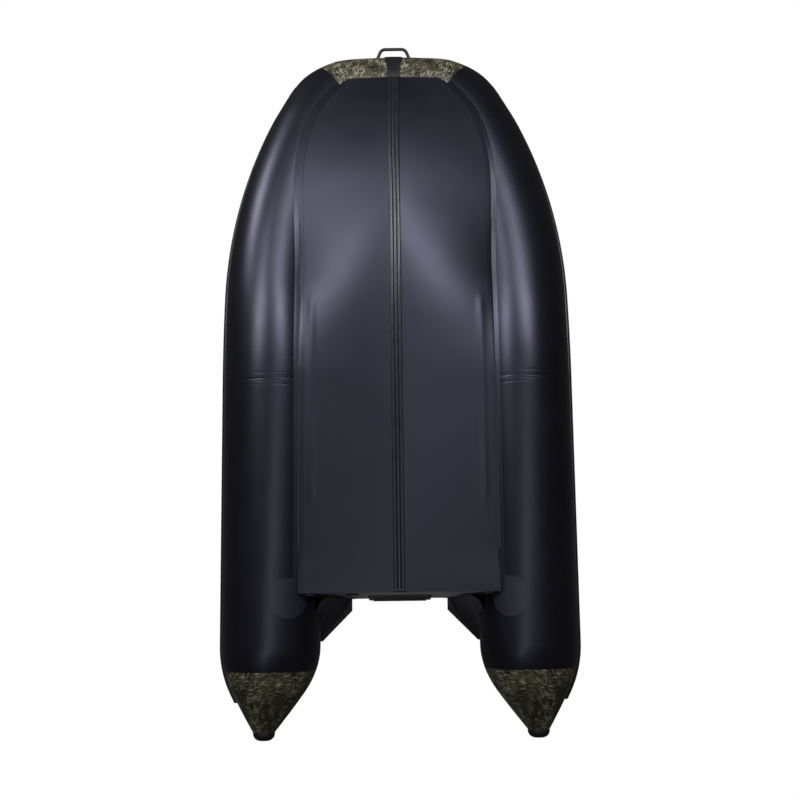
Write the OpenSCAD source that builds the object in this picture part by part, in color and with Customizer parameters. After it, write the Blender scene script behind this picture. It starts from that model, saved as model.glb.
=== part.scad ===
// Inflatable boat with a plywood floor, a board transom and an inflated keel.
// The bow points to -Y, port is +X, and the tubes and the keel rest on z = 0.

/* [Tubes] */
// Diameter of the inflated side tubes
tube_d = 460; // [430:2:490]
// Distance between the axes of the two side tubes
tube_spacing = 1212; // [1160:2:1280]
// Straight length of a side tube, from its tail cone to the ring seam where the bow starts to lift
straight_len = 1352; // [1340:2:1500]
// How far the edge between the lower and the upper panel lies below the tube's axis
panel_drop = 38; // [32:1:60]

/* [Bow] */
// Radius of the bend that lifts the bow, at the tube's axis
lift_r = 2024; // [1800:4:2300]
// Angle by which the fore tubes rise, in degrees
lift = 12.5; // [10:0.5:14]
// Radius of the long turn towards the bow, at the tube's axis
flare_r = 2408; // [2200:4:2600]
// Angle of the long turn, in degrees
flare = 22.2; // [18:0.2:24]
// Radius of the short turn at the bow's shoulder, at the tube's axis
shoulder_r = 590; // [500:5:680]
// Angle of the short turn, in degrees
shoulder = 30.4; // [26:0.2:34]

/* [Tail cones] */
// Length of a tail cone, without its cap
cone_len = 287; // [220:1:340]
// Diameter of the cone's small end
cone_end_d = 110; // [90:1:140]
// How far the small end lies outboard of the tube's axis
cone_out = 38; // [0:1:60]
// How far the small end lies above the tube's axis
cone_up = 30; // [0:1:60]
// Length of the end cap
cap_len = 39; // [30:1:60]
// How far the end cap's rim stands proud of the cone
cap_lip = 4; // [2:0.5:8]

/* [Rub strake] */
// Thickness of the rub strake
strake_t = 14; // [8:1:20]
// Height of the rub strake
strake_h = 50; // [36:1:60]
// Length of the strake's tail on the cone
strake_tail = 150; // [80:1:180]

/* [Bottom] */
// Angle of the bottom's seam on the tube, inboard of its lowest line, at the stern
seam_aft = 36.5; // [32:0.5:40]
// The same angle at the bow
seam_fore = 2.5; // [0:0.5:8]
// Thickness of the bottom skin with its seam tape
skin_t = 6; // [4:0.5:9]
// Depth of the keel guard's ribs
guard_t = 7; // [5:0.5:10]
// Width of one rib of the keel guard
rib_w = 14; // [10:1:18]
// Gap between two ribs
rib_gap = 5; // [3:0.5:8]

/* [Floor] */
// Height of the floorboards' undersides
floor_z = 75; // [72:1:84]
// Thickness of the floorboards
board_t = 12; // [9:1:15]
// Half the width of the floorboards
floor_half_w = 408; // [360:1:412]
// Length of each of the boards behind the bow board
board_len = 440; // [400:2:444]
// Length of the bow board
bow_board_len = 412; // [360:2:440]
// Half the width of the bow board's front edge
bow_board_tip = 158; // [120:2:190]
// Gap between two boards, filled by the web of the joint profile
joint_web = 4; // [3:0.5:6]
// Wall of the aluminium floor profiles
profile_t = 2.5; // [2:0.25:3]
// Height of the stringers that lock the boards
stringer_h = 26; // [22:1:30]
// Length of the stringers
stringer_len = 1020; // [900:2:1024]

/* [Transom] */
// Distance from the cone joint forward to the transom's aft face, at the level of the ground
transom_aft_gap = 358; // [340:1:380]
// Thickness of the transom board
transom_t = 32; // [25:1:38]
// Height of the transom's top beside the motor cut-out
transom_top = 462; // [445:1:475]
// Height of the motor cut-out's edge
motor_top = 425; // [400:1:435]
// Half the width of the motor cut-out
motor_half_w = 205; // [180:1:230]
// Rake of the transom, in degrees
rake = 5; // [2:0.5:8]
// Width of the motor pads
pad_w = 300; // [240:2:340]
// Height of the outer motor pad
pad_h = 200; // [150:2:240]
// Thickness of the motor pads
pad_t = 9; // [6:1:12]
// Thickness of the channel's base between the tube and the transom
channel_base = 12; // [8:1:16]
// Thickness of the channel's cheeks
cheek_t = 10; // [6:1:14]
// Depth of the channel's cheeks
cheek_h = 34; // [24:1:44]

/* [Seats] */
// Height of the rail's bead over the tube
bead_lift = 20; // [16:1:26]
// Diameter of the rail's bead
bead_d = 12; // [10:0.5:14]
// Length of the seat rails
rail_len = 890; // [860:2:892]
// Length of a bench, across the boat
bench_len = 906; // [880:2:924]
// Width of a bench, along the boat
bench_w = 240; // [200:2:250]
// Thickness of a bench
bench_t = 18; // [15:1:24]
// Length of the sliding shoes under a bench
shoe_len = 160; // [120:2:200]
// Running clearance of the shoe on the bead
shoe_gap = 0.4; // [0.3:0.1:0.8]

/* [Fittings] */
// Diameter of the oarlock's base
lock_d = 112; // [96:2:124]
// Diameter of the oarlock's pin
lock_pin_d = 20; // [16:1:24]
// Running clearance round the oarlock's pin
lock_gap = 0.05; // [0.02:0.01:0.08]
// Diameter of the hole that takes the oar's pin
oar_pin_d = 12; // [10:1:14]
// Gap between the yoke's ears
ear_gap = 38; // [30:1:46]
// Diameter of an air valve's flange
valve_d = 68; // [56:2:76]
// How far the bow handle's bar stands off the bow tube
handle_reach = 56; // [46:1:70]
// Diameter of the handles' bars
bar_d = 13; // [10:0.5:16]

/* [Hidden] */
$fn = 192;

deg = 180 / PI;
tube_r = tube_d / 2;
axis_x = tube_spacing / 2;
cone_end_r = cone_end_d / 2;
bar_r = bar_d / 2;
// Small gap between curved faces that would touch
touch = 0.3;
// Length for tools that cut right through
through = 4 * tube_r;

// Where the bow handle sits, as an angle below the bow tube's equator
handle_drop = 12;

// Run of the tube's axis towards the bow: the lift, then the two turns in the lifted plane
yaw_end = flare + shoulder;
mitre = (90 - yaw_end) / 2;
turn_run = flare_r * sin(flare) + shoulder_r * (sin(yaw_end) - sin(flare));
turn_inset = flare_r * (1 - cos(flare)) + shoulder_r * (cos(flare) - cos(yaw_end));
lift_run = lift_r * sin(lift);
handle_tip = (tube_r + handle_reach + bar_r) * cos(handle_drop) + bar_r * sin(handle_drop);
hull_run = cap_len + cone_len + straight_len + lift_run + turn_run * cos(lift) + handle_tip;
stern_y = hull_run / 2;
cone_y = stern_y - cap_len - cone_len;
ring_y = cone_y - straight_len;
bow_x = axis_x - turn_inset;
bow_y = ring_y - lift_run - turn_run * cos(lift);
bow_z = tube_r + lift_r * (1 - cos(lift)) + turn_run * sin(lift);

// Arc lengths along the tube's axis, counted from the start of the lift
lift_arc = lift_r * lift / deg;
flare_arc = flare_r * flare / deg;
shoulder_arc = shoulder_r * shoulder / deg;
fore_arc = lift_arc + flare_arc + shoulder_arc;

function pitch_at(s) = min(max(s, 0), lift_arc) / lift_r * deg;
function yaw_at(s) =
    s <= lift_arc + flare_arc
        ? max(s - lift_arc, 0) / flare_r * deg
        : flare + (s - lift_arc - flare_arc) / shoulder_r * deg;
function run_at(yaw) =
    yaw <= flare ? flare_r * sin(yaw) : flare_r * sin(flare) + shoulder_r * (sin(yaw) - sin(flare));
function inset_at(yaw) =
    yaw <= flare
        ? flare_r * (1 - cos(yaw))
        : flare_r * (1 - cos(flare)) + shoulder_r * (cos(flare) - cos(yaw));
function axis_point(s) = [
    axis_x - inset_at(yaw_at(s)),
    ring_y - min(s, 0) - lift_r * sin(pitch_at(s)) - run_at(yaw_at(s)) * cos(lift),
    tube_r + lift_r * (1 - cos(pitch_at(s))) + run_at(yaw_at(s)) * sin(lift)
];
function outboard(s) = [
    cos(yaw_at(s)), -sin(yaw_at(s)) * cos(pitch_at(s)), sin(yaw_at(s)) * sin(pitch_at(s))
];
function upward(s) = [0, sin(pitch_at(s)), cos(pitch_at(s))];

// The bottom's seam wanders from the tube's inboard side at the stern to its lowest line at the bow
seam_turn_start = 465;
seam_turn_len = 950;
function ease(t) = t <= 0 ? 0 : t >= 1 ? 1 : t * t * (3 - 2 * t);
function seam_angle(s) = seam_aft - (seam_aft - seam_fore) * ease((s - seam_turn_start) / seam_turn_len);
function seam_point(s, clear) =
    axis_point(s) - (tube_r + clear) * (upward(s) * cos(seam_angle(s)) + outboard(s) * sin(seam_angle(s)));

module on_port(side) {
    if (side > 0)
        children();
    else
        mirror([1, 0, 0]) children();
}

module on_both() {
    children();
    mirror([1, 0, 0]) children();
}

// Sections are drawn with x outboard and y up from the tube's axis, then run along that axis
module straight_run(from_y, to_y) {
    translate([axis_x, from_y, tube_r]) rotate([90, 0, 0]) linear_extrude(from_y - to_y) children();
}

module after_lift() {
    translate([axis_x, ring_y - lift_run, tube_r + lift_r * (1 - cos(lift))]) rotate([-lift, 0, 0]) children();
}

module after_turn(radius, angle) {
    translate([-radius * (1 - cos(angle)), -radius * sin(angle), 0]) rotate([0, 0, -angle]) children();
}

module at_shoulder_end() {
    after_lift() after_turn(flare_r, flare) after_turn(shoulder_r, shoulder) children();
}

// Everything short of that mitre, on the port side
module short_of_mitre() {
    at_shoulder_end() rotate([0, 0, -mitre]) translate([-through / 2, 0, -through / 2]) cube(through);
}

// Closed skin through rings of equal size, whose points k and last - k lie across from each other
module loft(rings) {
    sides = len(rings[0]);
    last = len(rings) - 1;
    polyhedron(
        points = [for (ring = rings) each ring],
        faces = concat(
            [for (k = [0 : sides / 2 - 2]) [k, k + 1, sides - 2 - k, sides - 1 - k]],
            [for (i = [0 : last - 1]) for (k = [0 : sides - 1])
                [i * sides + k, (i + 1) * sides + k, i * sides + (k + 1) % sides]],
            [for (i = [0 : last - 1]) for (k = [0 : sides - 1])
                [i * sides + (k + 1) % sides, (i + 1) * sides + k, (i + 1) * sides + (k + 1) % sides]],
            [for (k = [0 : sides / 2 - 2])
                [last * sides + sides - 1 - k, last * sides + sides - 2 - k,
                    last * sides + k + 1, last * sides + k]]
        )
    );
}

// Places along the fore tubes: the ring seam, the lift, the long turn and the shoulder
lift_steps = 5;
flare_steps = 9;
shoulder_steps = 9;
fore_stations = concat(
    [for (i = [0 : lift_steps - 1]) lift_arc * i / lift_steps],
    [for (i = [0 : flare_steps - 1]) lift_arc + flare_arc * i / flare_steps],
    [for (i = [0 : shoulder_steps]) lift_arc + flare_arc + shoulder_arc * i / shoulder_steps]
);
function heading(s) = [
    -sin(yaw_at(s)), -cos(yaw_at(s)) * cos(pitch_at(s)), cos(yaw_at(s)) * sin(pitch_at(s))
];
// Sections lean over little by little round the shoulder until they lie in the mitre
function lean_at(s) = mitre * max(0, s - lift_arc - flare_arc) / shoulder_arc;
function on_axis(s, point) =
    axis_point(s) + outboard(s) * point[0] + upward(s) * point[1] + heading(s) * point[0] * tan(lean_at(s));
function tube_arc(from, to, steps) =
    [for (k = [0 : steps]) let (a = from + (to - from) * k / steps) [tube_r * cos(a), tube_r * sin(a)]];
panel_angle = asin(panel_drop / tube_r);
// Angle by which the lower panel stays short of the upper one
panel_gap = 0.12;
lower_arc = tube_arc(panel_angle + panel_gap - 180, -panel_angle - panel_gap, 25);
upper_arc = tube_arc(-panel_angle, 180 + panel_angle, 31);

module fore_panel(arc) {
    loft([for (s = fore_stations) [for (point = arc) on_axis(s, point)]]);
}

module lower_section() {
    intersection() {
        circle(tube_r);
        translate([-tube_r, -tube_d - panel_drop]) square([tube_d, tube_d]);
    }
}

module upper_section() {
    difference() {
        circle(tube_r);
        translate([-tube_r, -tube_d - panel_drop]) square([tube_d, tube_d]);
    }
}

module aft_tube_lower(side) {
    color("#1d1d22") on_port(side) straight_run(cone_y, ring_y) lower_section();
}

module aft_tube_upper(side) {
    color("#6f6848") on_port(side) straight_run(cone_y, ring_y) upper_section();
}

module fore_tube_lower(side) {
    color("#1d1d22") on_port(side) fore_panel(lower_arc);
}

module fore_tube_upper(side) {
    color("#6f6848") on_port(side) fore_panel(upper_arc);
}

module bow_tube() {
    reach = bow_x + 2 * tube_r * tan(mitre);
    color("#6f6848") difference() {
        translate([-reach, bow_y, bow_z]) rotate([0, 90, 0]) cylinder(h = 2 * reach, r = tube_r);
        on_both() short_of_mitre();
    }
}

// The cone leans outboard and up, so it is the hull of its two end discs
module tail_cone(side) {
    disc_t = 0.1;
    color("#6f6848") on_port(side) hull($fn = 72) {
        translate([axis_x, cone_y, tube_r]) rotate([-90, 0, 0]) cylinder(h = disc_t, r = tube_r);
        translate([axis_x + cone_out, cone_y + cone_len - disc_t, tube_r + cone_up])
            rotate([-90, 0, 0]) cylinder(h = disc_t, r = cone_end_r);
    }
}

module tail_caps() {
    rim_r = cone_end_r + cap_lip;
    nose_r = 0.6 * cap_len;
    color("#141416") on_both() translate([axis_x + cone_out, cone_y + cone_len, tube_r + cone_up])
        rotate([-90, 0, 0]) rotate_extrude() {
            square([rim_r, cap_len - nose_r]);
            translate([0, cap_len - nose_r]) square([rim_r - nose_r, nose_r]);
            intersection() {
                translate([rim_r - nose_r, cap_len - nose_r]) circle(nose_r);
                translate([rim_r - nose_r, cap_len - nose_r]) square(nose_r);
            }
        }
}

// The strake's section: four points outside, then four on the tube
strake_bevel = 8;
strake_edge = 5;
function strake_points(radius) =
    let (rest_r = radius + touch, half = strake_h / 2)
    concat(
        [[sqrt(rest_r * rest_r - half * half) + strake_edge, -half]],
        [[rest_r + strake_t - touch, -half + strake_bevel], [rest_r + strake_t - touch, half - strake_bevel]],
        [[sqrt(rest_r * rest_r - half * half) + strake_edge, half]],
        [for (y = [half, half / 3, -half / 3, -half]) [sqrt(rest_r * rest_r - y * y), y]]
    );

// Ring of the strake on the tail cone, at a share of the cone's length
function strake_on_cone(share) =
    let (radius = tube_r + (cone_end_r - tube_r) * share,
        mid = [axis_x + cone_out * share, cone_y + cone_len * share, tube_r + cone_up * share])
    [for (point = strake_points(radius + touch)) mid + [point[0], 0, point[1]]];

module strake(side) {
    tail_share = strake_tail / cone_len;
    color("#17171a") on_port(side) loft(concat(
        [strake_on_cone(tail_share), strake_on_cone(tail_share / 2), strake_on_cone(0)],
        [for (s = fore_stations) [for (point = strake_points(tube_r)) on_axis(s, point)]]
    ));
}

module strake_bow() {
    reach = bow_x + 2 * (tube_r + strake_t) * tan(mitre);
    color("#17171a") difference() {
        translate([0, bow_y, bow_z]) rotate([-lift, 0, 0]) rotate([90, 0, -90])
            linear_extrude(2 * reach, center = true) polygon(strake_points(tube_r));
        on_both() short_of_mitre();
    }
}

// Keel line: level under the floor, then rising ever more steeply to the bow tube
transom_y = cone_y - transom_aft_gap;
bottom_aft_y = transom_y - transom_t / cos(rake);
keel_bend_run = 287;
keel_bend_y = ring_y - keel_bend_run;
// Seat of the guard under the keel
keel_seat = 0.8;
keel_level = guard_t + keel_seat;
keel_end_y = seam_point(fore_arc, skin_t)[1];
keel_end_z = seam_point(fore_arc, skin_t)[2] - 2 * skin_t;
keel_power = 2.5;
function keel_z(y) =
    keel_level
        + (keel_end_z - keel_level) * pow(max(0, (keel_bend_y - y) / (keel_bend_y - keel_end_y)), keel_power);

// The skin lies flatter inside and turns up towards its seam where the floor's front end holds it down
skin_flat = 1.25;
skin_hollow = 1.6;
hollow_start = 190;
hollow_end = 610;
hollow_len = 600;
function skin_power(y) =
    skin_flat + skin_hollow
        * ease((ring_y + hollow_start - y) / hollow_len)
        * (1 - ease((ring_y - hollow_end - y) / hollow_len));
// Shares of the half-width at which the skin is drawn
stringer_out = 10;
bed_margin = 4;
bed_share = (floor_half_w + stringer_out + bed_margin) / seam_point(0, 0)[0];
skin_shares = [0, 0.06, 0.16, 0.3, 0.46, 0.62, 0.76, bed_share, 1];
skin_last = len(skin_shares) - 1;
skin_gap = 1.2;
fore_steps = 26;
aft_steps = 4;
skin_stations = concat(
    [for (i = [0 : aft_steps - 1]) (ring_y - bottom_aft_y) * (1 - i / aft_steps)],
    [for (i = [0 : fore_steps]) fore_arc * i / fore_steps]
);
bed_z = floor_z - profile_t;

function skin_low(seam, share) =
    keel_z(seam[1]) + (seam[2] - keel_z(seam[1])) * pow(share, skin_power(seam[1]));
function skin_ring(s) =
    let (low_seam = seam_point(s, skin_gap + skin_t), top_seam = seam_point(s, skin_gap),
        shares = concat([for (k = [skin_last : -1 : 1]) -skin_shares[k]], skin_shares))
    concat(
        [for (share = shares) [low_seam[0] * share, low_seam[1], skin_low(low_seam, abs(share))]],
        [[top_seam[0], low_seam[1], top_seam[2]]],
        [for (k = [len(shares) - 2 : -1 : 1])
            [low_seam[0] * shares[k], low_seam[1], max(bed_z, skin_low(low_seam, abs(shares[k])) + skin_t)]],
        [[-top_seam[0], low_seam[1], top_seam[2]]]
    );

module hull_bottom() {
    color("#1b1b20") loft([for (s = skin_stations) skin_ring(s)]);
}

// Ribs side by side along the keel, each a long hump
rib_count = 3;
rib_pitch = rib_w + rib_gap;
guard_base = 2;
rib_slope = 2;
function guard_ring(y, z) = concat(
    [for (k = [0 : rib_count - 1])
        let (mid = (k - (rib_count - 1) / 2) * rib_pitch)
        each [
            [mid - rib_w / 2, y, z - guard_base],
            [mid - rib_w / 2 + rib_slope, y, z - guard_t],
            [mid + rib_w / 2 - rib_slope, y, z - guard_t],
            [mid + rib_w / 2, y, z - guard_base]
        ]],
    [for (k = [rib_count - 1 : -1 : 0])
        let (mid = (k - (rib_count - 1) / 2) * rib_pitch)
        each [for (x = [rib_w / 2, rib_w / 2 - rib_slope, rib_slope - rib_w / 2, -rib_w / 2]) [mid + x, y, z]]]
);

module keel_guard() {
    guard_steps = 22;
    level_y = [bottom_aft_y, keel_bend_y];
    rise = keel_bend_y - keel_end_y;
    stations = concat(level_y, [for (i = [1 : guard_steps]) keel_bend_y - rise * i / guard_steps]);
    color("#19191d") loft([for (y = stations) guard_ring(y, keel_z(y) - keel_seat)]);
}

// Guard strip that goes on from the keel up the front of the bow tube
module bow_guard() {
    strip_t = 4;
    strip_w = rib_count * rib_pitch;
    start = atan2(bow_y - keel_end_y, bow_z - keel_end_z) + 2;
    stop = 90 - handle_drop - 8;
    color("#19191d") translate([0, bow_y, bow_z]) rotate([0, 90, 0]) rotate([0, 0, -stop])
        rotate_extrude(angle = stop - start) translate([tube_r, -strip_w / 2]) square([strip_t, strip_w]);
}

// Stiff loop on a pad, out from the bow tube's front
module bow_handle() {
    foot_half = 84;
    grip_half = 60;
    pad_half_w = 104;
    pad_half_angle = 7;
    pad_thick = 5;
    foot_y = tube_r + pad_thick / 2;
    bar_y = tube_r + handle_reach;
    color("#141416") translate([0, bow_y, bow_z]) rotate([handle_drop, 0, 0]) {
        rotate([0, 90, 0]) rotate([0, 0, -90 - pad_half_angle]) rotate_extrude(angle = 2 * pad_half_angle)
            translate([tube_r, -pad_half_w]) square([pad_thick, 2 * pad_half_w]);
        translate([0, 0, -bar_r]) linear_extrude(bar_d) polygon([
            [-foot_half - bar_r, -foot_y],
            [-grip_half - bar_r, -bar_y],
            [-grip_half, -bar_y - bar_r],
            [grip_half, -bar_y - bar_r],
            [grip_half + bar_r, -bar_y],
            [foot_half + bar_r, -foot_y],
            [foot_half - bar_r, -foot_y],
            [grip_half - bar_r, -bar_y + bar_r],
            [bar_r - grip_half, -bar_y + bar_r],
            [bar_r - foot_half, -foot_y]
        ]);
    }
}

// The transom's own frame: y forward of the aft face is negative, z runs up the board
module on_transom() {
    translate([0, transom_y, 0]) rotate([-rake, 0, 0]) children();
}

module along_tube(from_y, to_y, radius) {
    translate([axis_x, to_y, tube_r]) rotate([90, 0, 0]) cylinder(h = to_y - from_y, r = radius);
}

module transom_outline() {
    notch_slope = 45;
    shoulder_x = axis_x - 0.68 * tube_r;
    foot_z = guard_t + 4;
    side_z = tube_r - (tube_r + channel_base) * cos(seam_aft);
    on_half = [
        [motor_half_w, motor_top],
        [motor_half_w + notch_slope, transom_top],
        [shoulder_x, transom_top],
        [axis_x - 0.4 * tube_r, transom_top - 40],
        [axis_x - 0.4 * tube_r, tube_r],
        [axis_x - 0.5 * tube_r, side_z],
        [0, foot_z]
    ];
    polygon(concat(on_half, [for (k = [len(on_half) - 2 : -1 : 0]) [-on_half[k][0], on_half[k][1]]]));
}

drain_x = -220;
drain_z = 120;
drain_r = 15;

module transom() {
    color("#6a6a68") difference() {
        on_transom() rotate([90, 0, 0]) linear_extrude(transom_t) transom_outline();
        on_both() along_tube(transom_y - through / 2, transom_y + through / 2, tube_r + channel_base + touch);
        on_transom() translate([drain_x, transom_t, drain_z]) rotate([90, 0, 0])
            cylinder(h = 3 * transom_t, r = drain_r + touch);
    }
}

// U-channel that wraps the transom's edge and is glued to the tube
module transom_channels() {
    lowest = bed_z + profile_t;
    color("#17171a") on_both() difference() {
        intersection() {
            along_tube(transom_y - through / 2, transom_y + through / 2, tube_r + cheek_h);
            on_transom() translate([0, -transom_t - cheek_t, lowest])
                cube([axis_x - 0.4 * tube_r, transom_t + 2 * cheek_t, transom_top - lowest - 10]);
        }
        along_tube(transom_y - through / 2, transom_y + through / 2, tube_r);
        difference() {
            on_transom() translate([0, -transom_t - touch, -through / 2])
                cube([axis_x, transom_t + 2 * touch, 2 * through]);
            along_tube(transom_y - through / 2, transom_y + through / 2, tube_r + channel_base);
        }
    }
}

module pad_plate(height) {
    corner = 12;
    hull() for (x = [-1, 1], z = [0, 1])
        translate([x * (pad_w / 2 - corner), 0, corner + z * (height - 2 * corner)])
            rotate([90, 0, 0]) cylinder(h = pad_t, r = corner, $fn = 32);
}

module motor_pad_outer() {
    color("#4c4a47") on_transom() translate([0, pad_t, motor_top - pad_h]) pad_plate(pad_h);
}

module motor_pad_inner() {
    inner_h = 0.75 * pad_h;
    color("#4c4a47") on_transom() translate([0, -transom_t, motor_top - inner_h]) pad_plate(inner_h);
}

// Triangular plates in the corners between the transom's aft face and the tubes
knee_z = tube_d - 68;

module knee_plates() {
    knee_t = 12;
    knee_run = 145;
    tip_x = axis_x - tube_r + 1;
    knee_in = tip_x - knee_run;
    short_edge = 58;
    start_y = transom_y + (knee_z + knee_t) * tan(rake) + touch;
    color("#17171a") on_both() difference() {
        translate([0, start_y, knee_z]) linear_extrude(knee_t) polygon([
            [knee_in, 0],
            [axis_x - 0.3 * tube_r, 0],
            [axis_x - 0.3 * tube_r, short_edge + knee_run],
            [tip_x, short_edge + knee_run],
            [knee_in, short_edge]
        ]);
        along_tube(transom_y - through / 2, transom_y + through, tube_r + touch);
        along_tube(transom_y - through / 2, transom_y + cheek_t + 60, tube_r + cheek_h + 2);
    }
}

// Fabric coves that close the corners below the knee plates: thin sheets, tangent to transom and tube
cove_r = 125;
cove_t = 3;
cove_low = 0.65 * tube_r;
cove_high = knee_z - 7;
cove_gap = 1.5;
cove_steps = 8;
function cove_ring(z) =
    let (wall_x = axis_x - sqrt(pow(tube_r + cove_gap, 2) - pow(z - tube_r, 2)),
        mid = [wall_x - cove_r, transom_y + z * tan(rake) + cove_gap + cove_r, z])
    concat(
        [for (k = [0 : cove_steps]) let (a = 90 * k / cove_steps - 90) mid + cove_r * [cos(a), sin(a), 0]],
        [for (k = [cove_steps : -1 : 0])
            let (a = 90 * k / cove_steps - 90) mid + (cove_r - cove_t) * [cos(a), sin(a), 0]]
    );

module corner_coves() {
    color("#1b1b20") on_both()
        loft([for (k = [cove_steps : -1 : 0]) cove_ring(cove_low + (cove_high - cove_low) * k / cove_steps)]);
}

module drain_valve() {
    flange_r = 30;
    flange_t = 5;
    plug_r = 20;
    plug_t = 14;
    color("#141416") on_transom() translate([drain_x, flange_t, drain_z]) rotate([90, 0, 0]) {
        cylinder(h = flange_t, r = flange_r);
        cylinder(h = flange_t + transom_t + plug_t, r = drain_r);
        translate([0, 0, flange_t + transom_t]) cylinder(h = flange_t, r = flange_r);
        translate([0, 0, flange_t + transom_t]) cylinder(h = plug_t, r = plug_r);
    }
}

// Floorboards from the transom forward, each behind a joint profile
floor_aft_y = bottom_aft_y - 8;
board_pitch = board_len + joint_web;
function board_y(k) = floor_aft_y - k * board_pitch;
board_count = 3;
bow_board_y = board_y(board_count);

module floorboard(k) {
    color("#4d4438") translate([-floor_half_w, board_y(k) - board_len, floor_z])
        cube([2 * floor_half_w, board_len, board_t]);
}

bow_board_inset = 32;
module floorboard_bow() {
    color("#4d4438") translate([0, bow_board_y, floor_z]) linear_extrude(board_t) polygon([
        [floor_half_w, 0],
        [floor_half_w - bow_board_inset, -0.2 * bow_board_len],
        [bow_board_tip, -bow_board_len],
        [-bow_board_tip, -bow_board_len],
        [-floor_half_w + bow_board_inset, -0.2 * bow_board_len],
        [-floor_half_w, 0]
    ]);
}

// H-profiles that join the boards' edges
module floor_joints() {
    flange = 36;
    half_w = floor_half_w - 24;
    color("silver") for (k = [1 : board_count]) {
        translate([-half_w, board_y(k), floor_z]) cube([2 * half_w, joint_web, board_t]);
        translate([-half_w, board_y(k) + joint_web / 2 - flange / 2, bed_z])
            cube([2 * half_w, flange, profile_t]);
        translate([-half_w, board_y(k) + joint_web / 2 - flange / 2, floor_z + board_t])
            cube([2 * half_w, flange, profile_t]);
    }
}

// C-profiles along the boards' edges, across the joints
module stringers() {
    lip = 20;
    aft_y = floor_aft_y - 0.8 * board_len;
    color("silver") on_both() translate([0, aft_y, 0]) rotate([90, 0, 0]) linear_extrude(stringer_len)
        polygon([
            [floor_half_w - lip, bed_z],
            [floor_half_w + stringer_out, bed_z],
            [floor_half_w + stringer_out, bed_z + stringer_h - stringer_out],
            [floor_half_w + 2, bed_z + stringer_h],
            [floor_half_w - lip, bed_z + stringer_h],
            [floor_half_w - lip, floor_z + board_t],
            [floor_half_w, floor_z + board_t],
            [floor_half_w, floor_z],
            [floor_half_w - lip, floor_z]
        ]);
}

// Rails: a beaded strip glued on each tube, high on its inboard side
rail_angle = 135;
rail_foot_t = 4;
rail_web = 5;
bead_r = bead_d / 2;
rail_aft_y = transom_y - 100;
bead_x = axis_x + (tube_r + bead_lift) * cos(rail_angle);
bead_z = tube_r + (tube_r + bead_lift) * sin(rail_angle);

module rail_section() {
    foot_half_angle = 8;
    foot_far = tube_r + 2 * rail_foot_t;
    intersection() {
        difference() {
            circle(tube_r + rail_foot_t);
            circle(tube_r);
        }
        rotate(rail_angle) polygon([
            [0, 0],
            [foot_far, -foot_far * tan(foot_half_angle)],
            [foot_far, foot_far * tan(foot_half_angle)]
        ]);
    }
    rotate(rail_angle) difference() {
        translate([tube_r - 1, -rail_web / 2]) square([bead_lift + 1, rail_web]);
        circle(tube_r);
    }
    rotate(rail_angle) translate([tube_r + bead_lift, 0]) circle(bead_r);
}

module seat_rails() {
    color("#17171a") on_both() straight_run(rail_aft_y, rail_aft_y - rail_len) rail_section();
}

// Benches: the fore one and the aft one, each on two shoes
bench_fore_y = rail_aft_y - 0.8 * rail_len;
bench_aft_y = rail_aft_y - 0.26 * rail_len;
shoe_r = bead_r + 8;
bench_z = bead_z + shoe_r + 2;

module bench(y) {
    corner = 30;
    color("#3b3a38") translate([0, y, bench_z]) linear_extrude(bench_t) difference() {
        union() {
            square([bench_len, bench_w - 2 * corner], center = true);
            square([bench_len - 2 * corner, bench_w], center = true);
            for (x = [-1, 1], q = [-1, 1])
                translate([x * (bench_len / 2 - corner), q * (bench_w / 2 - corner)]) circle(corner);
        }
    }
}

module shoe_section() {
    slot_w = rail_web + 3;
    rotate(rail_angle) translate([tube_r + bead_lift, 0]) difference() {
        circle(shoe_r);
        circle(bead_r + shoe_gap);
        translate([-2 * shoe_r, -slot_w / 2]) square([2 * shoe_r, slot_w]);
    }
    translate([bead_x - axis_x - shoe_r, bead_z - tube_r])
        difference() {
            translate([-6, 0]) square([2 * shoe_r + 6, bench_z - bead_z]);
            translate([shoe_r, 0]) circle(shoe_r - 1);
        }
}

module bench_shoes(y) {
    color("#141416") on_both() straight_run(y + shoe_len / 2, y - shoe_len / 2) shoe_section();
}

// Oarlocks stand on top of the tubes, between the benches
lock_y = bench_fore_y + 0.5 * (bench_aft_y - bench_fore_y) + 20;
lock_top = tube_d + 20;
lock_pin_len = 17;

module oarlock_bases() {
    skirt = 16;
    neck_r = lock_pin_d / 2 + 12;
    color("#141416") on_both() difference() {
        translate([axis_x, lock_y, 0]) {
            translate([0, 0, tube_d - skirt]) cylinder(h = skirt + 9, r = lock_d / 2);
            translate([0, 0, tube_d]) cylinder(h = lock_top - tube_d, r = neck_r);
        }
        along_tube(lock_y - through, lock_y + through, tube_r);
        translate([axis_x, lock_y, lock_top - lock_pin_len])
            cylinder(h = through, r = lock_pin_d / 2 + lock_gap);
    }
}

module oarlock_yoke(side) {
    ear_t = 8;
    ear_w = 34;
    plate_t = 6;
    eye_lift = 30;
    base_z = lock_top + touch;
    eye_z = base_z + plate_t + eye_lift;
    color("#2a2a2c") on_port(side) translate([axis_x, lock_y, 0]) {
        translate([0, 0, lock_top - lock_pin_len + 1]) cylinder(h = lock_pin_len + touch, r = lock_pin_d / 2);
        difference() {
            union() {
                translate([-ear_w / 2, -ear_gap / 2 - ear_t, base_z]) cube([ear_w, ear_gap + 2 * ear_t, plate_t]);
                for (q = [-1, 1]) translate([0, q * (ear_gap + ear_t) / 2, 0]) {
                    translate([-ear_w / 2, -ear_t / 2, base_z]) cube([ear_w, ear_t, eye_z - base_z]);
                    translate([0, ear_t / 2, eye_z]) rotate([90, 0, 0]) cylinder(h = ear_t, r = ear_w / 2);
                }
            }
            translate([0, through / 2, eye_z]) rotate([90, 0, 0]) cylinder(h = through, r = oar_pin_d / 2);
        }
    }
}

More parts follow.
